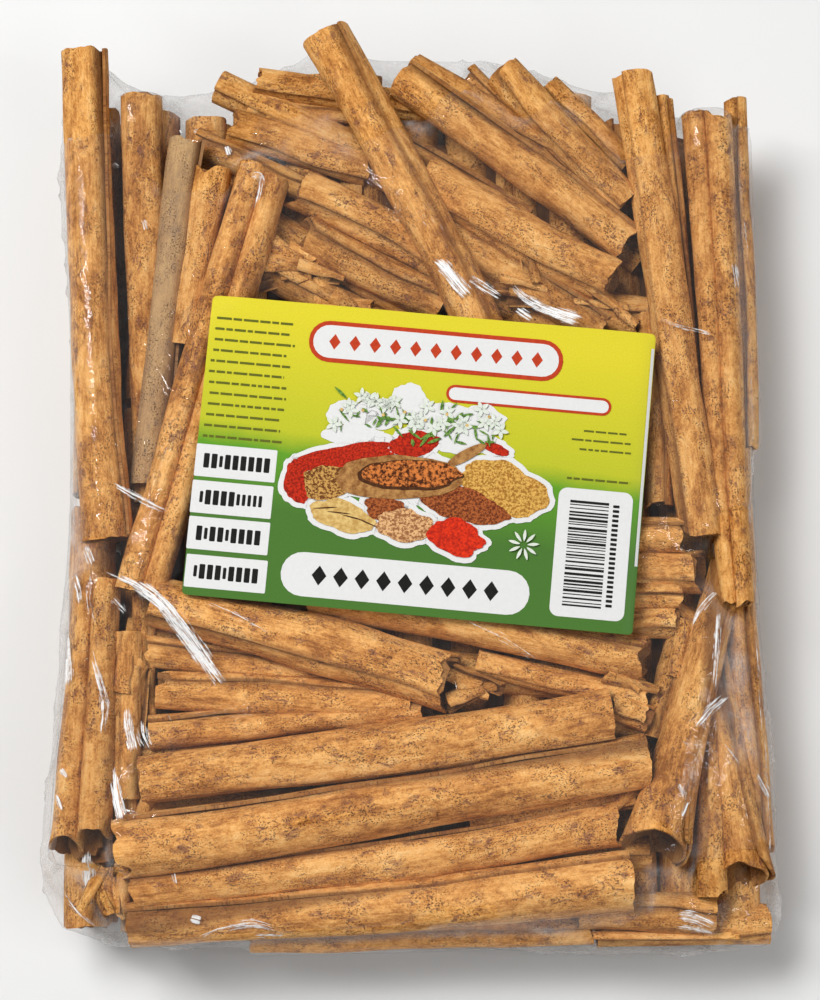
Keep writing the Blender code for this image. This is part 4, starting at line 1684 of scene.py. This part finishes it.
@dataclass
class Label:
    """The printed label.

    Attributes:
        size: Its width and height.
        corner: How round its corners are.
        turn: How far it is turned on the bag.
        thickness: Its thickness.
        ink_step: The height of one printed layer.
        cell: How finely it is cut, so that it can bend.
        layer: How many inks have been started.
    """

    size: Place = (134 * MM, 91 * MM)
    corner: float = 1.4 * MM
    turn: float = math.radians(-5.2)
    thickness: float = 0.30 * MM
    ink_step: float = 0.035 * MM
    cell: float = 3 * MM
    layer: int = 0

    @property
    def centre(self) -> Place:
        """The middle of the solid label from above."""
        low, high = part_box("label")
        return ((low.x + high.x) / 2, (low.y + high.y) / 2)

    @property
    def floor(self) -> float:
        """The height of the solid label's underside."""
        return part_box("label")[0].z

    def covers(self, points: np.ndarray, margin: float) -> np.ndarray:
        """Which points lie under the label.

        Args:
            points: The points.
            margin: How much the label is grown all round.

        Returns:
            True for each that does.
        """
        offset = points[:, :2] - np.array(self.centre)
        cos, sin = math.cos(self.turn), math.sin(self.turn)
        across = np.abs(offset @ np.array([cos, sin]))
        along = np.abs(offset @ np.array([-sin, cos]))
        return (across < self.size[0] / 2 + margin) & (along < self.size[1] / 2 + margin)

    def bend(self, x: float, y: float) -> float:
        """How far the label stands off its plane: it dips over its ends and ripples a little.

        Args:
            x: Place across it from its middle.
            y: Place up it from its middle.

        Returns:
            The height.
        """
        half_x, half_y = self.size[0] / 2, self.size[1] / 2
        right = max(0.0, (x - half_x + 2.6 * MM) / (2.6 * MM)) ** 2
        corner = max(0.0, (y - x - half_x - half_y + 11 * MM) / (11 * MM)) ** 2
        ripple = 0.16 * MM * math.sin(x / 0.019 + 1.0) * math.cos(y / 0.024)
        ripple += 0.10 * MM * math.sin(x / 0.0105 + y / 0.013)
        return ripple - 0.9 * MM * right - 1.3 * MM * corner

    def lay(self, bm: bmesh.types.BMesh, base: float, rise: float) -> None:
        """Cuts flat shapes into cells, thickens them, bends them and lays them on the bag.

        Args:
            bm: The flat shapes, in the label's own plane; changed in place.
            base: Their height over the label's underside.
            rise: Their thickness.
        """
        for axis, reach in ((0, self.size[0] / 2), (1, self.size[1] / 2)):
            way = Vector((1, 0, 0)) if axis == 0 else Vector((0, 1, 0))
            for step in np.arange(-reach + self.cell / 2, reach, self.cell):
                bmesh.ops.bisect_plane(
                    bm, geom=bm.verts[:] + bm.edges[:] + bm.faces[:], dist=0.001 * MM,
                    plane_co=way * float(step), plane_no=way,
                )
        bmesh.ops.recalc_face_normals(bm, faces=bm.faces[:])
        down = [face for face in bm.faces if face.normal.z < 0]
        bmesh.ops.reverse_faces(bm, faces=down)
        lifted = bmesh.ops.extrude_face_region(bm, geom=bm.faces[:], use_keep_orig=True)["geom"]
        upper = {part for part in lifted if isinstance(part, bmesh.types.BMVert)}
        under = [f for f in bm.faces if not any(v in upper for v in f.verts)]
        bmesh.ops.reverse_faces(bm, faces=under)
        for vert in bm.verts:
            height = base + (rise if vert in upper else 0.0)
            vert.co.z = self.floor + height + self.bend(vert.co.x, vert.co.y)
        place = Matrix.Translation((*self.centre, 0)) @ Matrix.Rotation(self.turn, 4, "Z")
        bmesh.ops.transform(bm, matrix=place, verts=bm.verts[:])

    def print_in(self, ink: Ink) -> Print:
        """Starts the next printed colour.

        Args:
            ink: The colour.

        Returns:
            Its shapes, none yet.
        """
        self.layer += 1
        return Print(ink, self.layer)

    def build(self) -> list[bpy.types.Object]:
        """Makes the sheet and everything printed on it.

        Returns:
            The pieces.
        """
        bm = bmesh.new()
        corners = bmesh.ops.create_grid(bm, x_segments=1, y_segments=1, size=0.5)["verts"]
        bmesh.ops.scale(bm, vec=(*self.size, 1), verts=corners)
        bmesh.ops.bevel(
            bm, geom=corners, offset=self.corner, affect="VERTICES", segments=6, profile=0.5,
            material=-1,
        )
        self.lay(bm, 0.0, self.thickness)
        sheet = finish_mesh("label_sheet", bm, PaperFinish().build())
        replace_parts(keep(sheet), "label")
        return [sheet, *self.print_panels(), *self.print_banners(), *self.print_spices()]

    def print_panels(self) -> list[bpy.types.Object]:
        """Prints the white panels, the plain bars and the rows of dashes.

        Returns:
            The pieces.
        """
        rng = np.random.default_rng(5)
        boxes = [(-55.0, -4.9), (-55.1, -15.9), (-55.0, -26.8), (-54.6, -38.2)]
        white = self.print_in(Ink.WHITE)
        for box in boxes:
            white.panel(box, (24.2, 9.8), 0.4)
        white.panel((-1.4, -36.3), (74.0, 13.2), 6.5)
        white.panel((52.9, -22.6), (22.2, 38.6), 2.6)
        white.panel((66.4, 8.0), (0.9, 66.0))
        black = self.print_in(Ink.BLACK)
        for x, y in boxes:
            left = x - 9.6
            while left < x + 8.6:
                width = float(rng.choice([1.0, 1.7, 1.7, 1.7]))
                black.panel((left + width / 2, y), (width, 4.4 if width > 1 else 3.4), 0.3)
                left += width + 0.65
        black.diamonds((-1.4, -36.3), 9, 6.4, (4.4, 6.0))
        low = -38.6
        while low < -7.2:
            bar = float(rng.choice([0.32, 0.32, 0.55, 0.8]))
            black.panel((51.2, low + bar / 2), (11.6, bar))
            low += bar + float(rng.choice([0.35, 0.5, 0.75]))
        for step in range(22):
            black.panel((59.2, -37.6 + 1.42 * step), (1.9, 0.85), 0.2)
        olive = self.print_in(Ink.OLIVE)
        rows = [(-66.0, -40.2, 38.6 - 3.28 * row, 1.15) for row in range(12)]
        rows += [(47.0, 62.0, 14.2, 0.9), (44.0, 63.4, 11.4, 0.9), (46.5, 63.4, 8.6, 0.9)]
        rows += [(43.0, 63.4, -0.4, 1.0)]
        for start, end, y, tall in rows:
            left = start + float(rng.uniform(0, 1.2))
            stop = end - float(rng.uniform(0, 0.14)) * (end - start)
            while left < stop:
                word = min(float(rng.uniform(1.2, 4.6)), stop - left)
                olive.panel((left + word / 2, y), (word, 0.62 * tall))
                left += word + 0.55
        return [white.finish(self), black.finish(self), olive.finish(self)]

    def print_banners(self) -> list[bpy.types.Object]:
        """Prints two plain white banners with a red rim, one with a row of equal diamonds.

        Returns:
            The pieces.
        """
        banners = (((1.5, 34.4), (74.0, 10.0), 2.6), ((30.5, 21.9), (48.0, 3.8), 1.6))
        red = self.print_in(Ink.RED)
        white = self.print_in(Ink.WHITE)
        for at, (wide, high), rim in banners:
            red.panel(at, (wide + rim, high + rim), 0.49 * (high + rim))
            white.panel(at, (wide, high), 0.49 * high)
        beads = self.print_in(Ink.RED)
        beads.diamonds(banners[0][0], 11, 6.1, (3.4, 4.8))
        return [red.finish(self), white.finish(self), beads.finish(self)]

    def print_spices(self) -> list[bpy.types.Object]:
        """Prints heaps of ground spice with a white rim, a wooden scoop and white flowers.

        Returns:
            The pieces.
        """
        rng = np.random.default_rng(9)
        heaps = (
            (Ink.CHILLI, ((-23, -0.6), (30, 8), 13)), (Ink.CHILLI, ((-36.2, -9), (7.5, 14), 18)),
            (Ink.CHILLI, ((-2, 5.5), (15, 7), 10)), (Ink.CHILLI, ((22, 6.2), (8, 3.2), -16)),
            (Ink.GOLD, ((25.5, -5.5), (26, 15.5), -20)), (Ink.BRICK, ((14.5, -11.5), (24, 10), -8)),
            (Ink.BROWN, ((-27.5, -8.2), (15, 10.5), 6)), (Ink.SAND, ((-21.5, -18), (20, 9), -12)),
            (Ink.BRICK, ((-9.5, -14.5), (12, 8), 0)), (Ink.TAN, ((-3.2, -19.2), (18, 9.5), -4)),
            (Ink.SCARLET, ((12.2, -21.2), (17, 10.5), -12)),
        )
        clouds = (
            ((-22, 13), (15, 8)), ((-12.5, 14), (15, 9)), ((-5, 18), (11, 11)), ((7, 14), (18, 9)),
            ((17.5, 14.2), (14, 9)), ((-19, 6.5), (20, 7)), ((12, 7.5), (22, 8)), ((-6, -4), (41, 18)),
        )
        rim = self.print_in(Ink.WHITE)
        for order, (at, size) in enumerate(clouds):
            rim.blob(at, size, 0.16, 0.0, 3 * order + 1, 56)
        for order, (_, (at, size, turn)) in enumerate(heaps):
            rim.blob(at, (size[0] + 3.2, size[1] + 3.2), 0.14, turn, 11 + order, 56)
        made = [rim.finish(self)]
        for order, (ink, (at, size, turn)) in enumerate(heaps):
            heap = self.print_in(ink)
            heap.blob(at, size, 0.15, turn, 11 + order, 56)
            made.append(heap.finish(self))
        lines = self.print_in(Ink.SHADE)
        for step in range(4):
            lines.leaf((-27 + 4.2 * step, -16 - 1.1 * step), 7.5, 0.55, 8 - 9 * step)
        made.append(lines.finish(self))
        scoop = self.print_in(Ink.WOOD)
        scoop.blob((-6, -5), (38.5, 13.5), 0.06, 5, 71, 56)
        scoop.ribbon([(8, 0), (13, 3.4), (19, 7.4)], 3.2)
        made.append(scoop.finish(self))
        for ink, at, size in (
            (Ink.SHADE, (-2.6, -3.9), (30, 9.6)), (Ink.GRAIN, (-2.2, -3.5), (28.5, 8.4)),
        ):
            fill = self.print_in(ink)
            fill.blob(at, size, 0.10, 5, 80, 44)
            made.append(fill.finish(self))
        leaves = self.print_in(Ink.LEAF)
        petals = self.print_in(Ink.PETAL)
        for step in range(64):
            at = (float(rng.uniform(-26, 21)), float(11.5 + rng.normal(0, 3.0)))
            leaves.leaf(at, float(rng.uniform(2.0, 5.2)), float(rng.uniform(0.6, 1.5)), step * 47.0)
        for step in range(24):
            at = (float(-26 + 2.1 * step + rng.normal(0, 0.9)), float(14.0 + rng.normal(0, 2.6)))
            petals.flower(at, 5, 1.2, (2.8, 1.7), step * 31)
        petals.flower((32.6, -21.8), 9, 2.9, (3.6, 1.3), 8)
        hearts = self.print_in(Ink.SAND)
        for step in range(0, 24, 3):
            hearts.blob((-25 + 2.1 * step, 14 + 2 * math.sin(step)), (1.0, 1.0), 0.1, 0, step, 8)
        return [*made, leaves.finish(self), petals.finish(self), hearts.finish(self)]


LABEL = Label()


# ---------------------------------------------------------------- studio


@dataclass(frozen=True)
class Lamp:
    """A softbox.

    Attributes:
        name: Its name.
        place: Where it hangs.
        size: Its width and height.
        power: Its power, in watts.
        mirrored: Whether glossy surfaces show it.
    """

    name: str
    place: Point
    size: Place
    power: float
    mirrored: bool = True


LAMPS = (
    Lamp("key", (-0.50, 0.45, 1.28), (0.7, 0.5), 17.3, mirrored=False),
    Lamp("fill", (0.9, -0.65, 1.15), (1.2, 1.0), 6.6, mirrored=False),
    Lamp("left_strip", (-0.62, 0.25, 0.75), (0.03, 0.45), 1.2),
    Lamp("right_strip", (0.62, -0.10, 0.75), (0.03, 0.45), 0.45),
)


@dataclass(frozen=True)
class Studio:
    """The pale floor, the lamps and the camera.

    Attributes:
        distance: From the camera to what it looks at.
        elevation: How steeply it looks down, in degrees.
        target: What it looks at.
        lens: Its focal length, in millimetres.
        floor: The floor's colour.
        sky: The colour of the light from all round.
        sky_strength: How strong that light is.
    """

    distance: float = 0.75
    elevation: float = 82.0
    target: Point = (0.0, -0.007, 0.045)
    lens: float = 90.0
    floor: Colour = (0.80, 0.80, 0.79)
    sky: Colour = (0.9, 0.92, 0.95)
    sky_strength: float = 0.16

    def build_floor(self) -> None:
        """Lays a plain pale floor."""
        material, _, shader = new_material("pale_floor")
        shader.inputs["Base Color"].default_value = (*self.floor, 1.0)
        shader.inputs["Roughness"].default_value = 0.9
        shader.inputs["Specular IOR Level"].default_value = 0.1
        bm = bmesh.new()
        bmesh.ops.create_grid(bm, x_segments=1, y_segments=1, size=4.0)
        finish_mesh("floor", bm, material)

    def build_lamp(self, lamp: Lamp) -> None:
        """Hangs one softbox, facing the pack.

        Args:
            lamp: The lamp.
        """
        light = bpy.data.lights.new(lamp.name, "AREA")
        light.shape = "RECTANGLE"
        light.size, light.size_y = lamp.size
        light.energy = lamp.power
        item = bpy.data.objects.new(lamp.name, light)
        item.location = lamp.place
        way = Vector(self.target) - Vector(lamp.place)
        item.rotation_euler = way.to_track_quat("-Z", "Y").to_euler()
        item.visible_glossy = lamp.mirrored
        bpy.context.scene.collection.objects.link(item)

    def build_camera(self) -> None:
        """Puts the camera over the pack, tilted slightly towards its foot."""
        camera = bpy.data.cameras.new("camera")
        camera.lens = self.lens
        camera.sensor_width = 36.0
        item = bpy.data.objects.new("camera", camera)
        tilt = math.radians(self.elevation)
        away = Vector((0.0, -math.cos(tilt), math.sin(tilt)))
        item.location = Vector(self.target) + self.distance * away
        item.rotation_euler = (math.pi / 2 - tilt, 0.0, 0.0)
        bpy.context.scene.collection.objects.link(item)
        bpy.context.scene.camera = item

    def build(self) -> None:
        """Sets the whole studio up."""
        self.build_floor()
        for lamp in LAMPS:
            self.build_lamp(lamp)
        world = bpy.data.worlds.new("studio")
        world.use_nodes = True
        background = world.node_tree.nodes["Background"]
        background.inputs["Color"].default_value = (*self.sky, 1.0)
        background.inputs["Strength"].default_value = self.sky_strength
        scene = bpy.context.scene
        scene.world = world
        scene.view_settings.view_transform = "Standard"
        scene.cycles.max_bounces = 6
        scene.cycles.diffuse_bounces = 2
        scene.cycles.glossy_bounces = 2
        self.build_camera()


# ---------------------------------------------------------------- the pack


def main() -> None:
    """Builds the pack piece by piece, then the studio round it."""
    grain = bark_grain_group()
    bark = BarkFinish().build("cinnamon_bark_grain", grain)
    Studio().build()
    # The core is painted shade, a near-black block seen between the quills.
    PaintedShadeCore().build(PaintedShadeCoreFinish().build())
    # The middle and foot bands are painted paler: painted light that brightens them.
    top = [
        ("quills_left", LEFT_COLUMN, 0.0), ("quills_head", TOP_FAN, 0.0),
        ("quills_right", RIGHT_COLUMN, 0.0), ("quills_middle", MIDDLE_BAND, 0.45),
        ("quills_foot", BOTTOM_BAND, 0.35),
    ]
    count = 0
    for name, quills, painted_light_lift in top:
        QuillBundle(name, quills, painted_light_lift=painted_light_lift).build(bark, count)
        count += len(quills)
    chips = LooseChips().quills()
    QuillBundle("bark_chips", chips, QuillMaker(across=30, step=1.6 * MM)).build(bark, count)
    count += len(chips)
    deep = DeepLayers().quills()
    coarse = QuillMaker(across=30, step=6 * MM)
    half = len(deep) // 2
    QuillBundle("quills_half_buried", HALF_BURIED, QuillMaker(across=36, step=5 * MM)).build(
        bark, count + len(deep)
    )
    QuillBundle("quills_lowest", deep[:half], coarse).build(bark, count)
    QuillBundle("quills_lower", deep[half:], coarse).build(bark, count + half)
    surface = [quill for _, quills, _ in top for quill in quills]
    film = FilmSkin().build([*surface, *deep])
    # The pleats are painted glints on the film.
    FilmGlintPleats().build(film)
    LABEL.build()


if __name__ == "__main__":
    main()
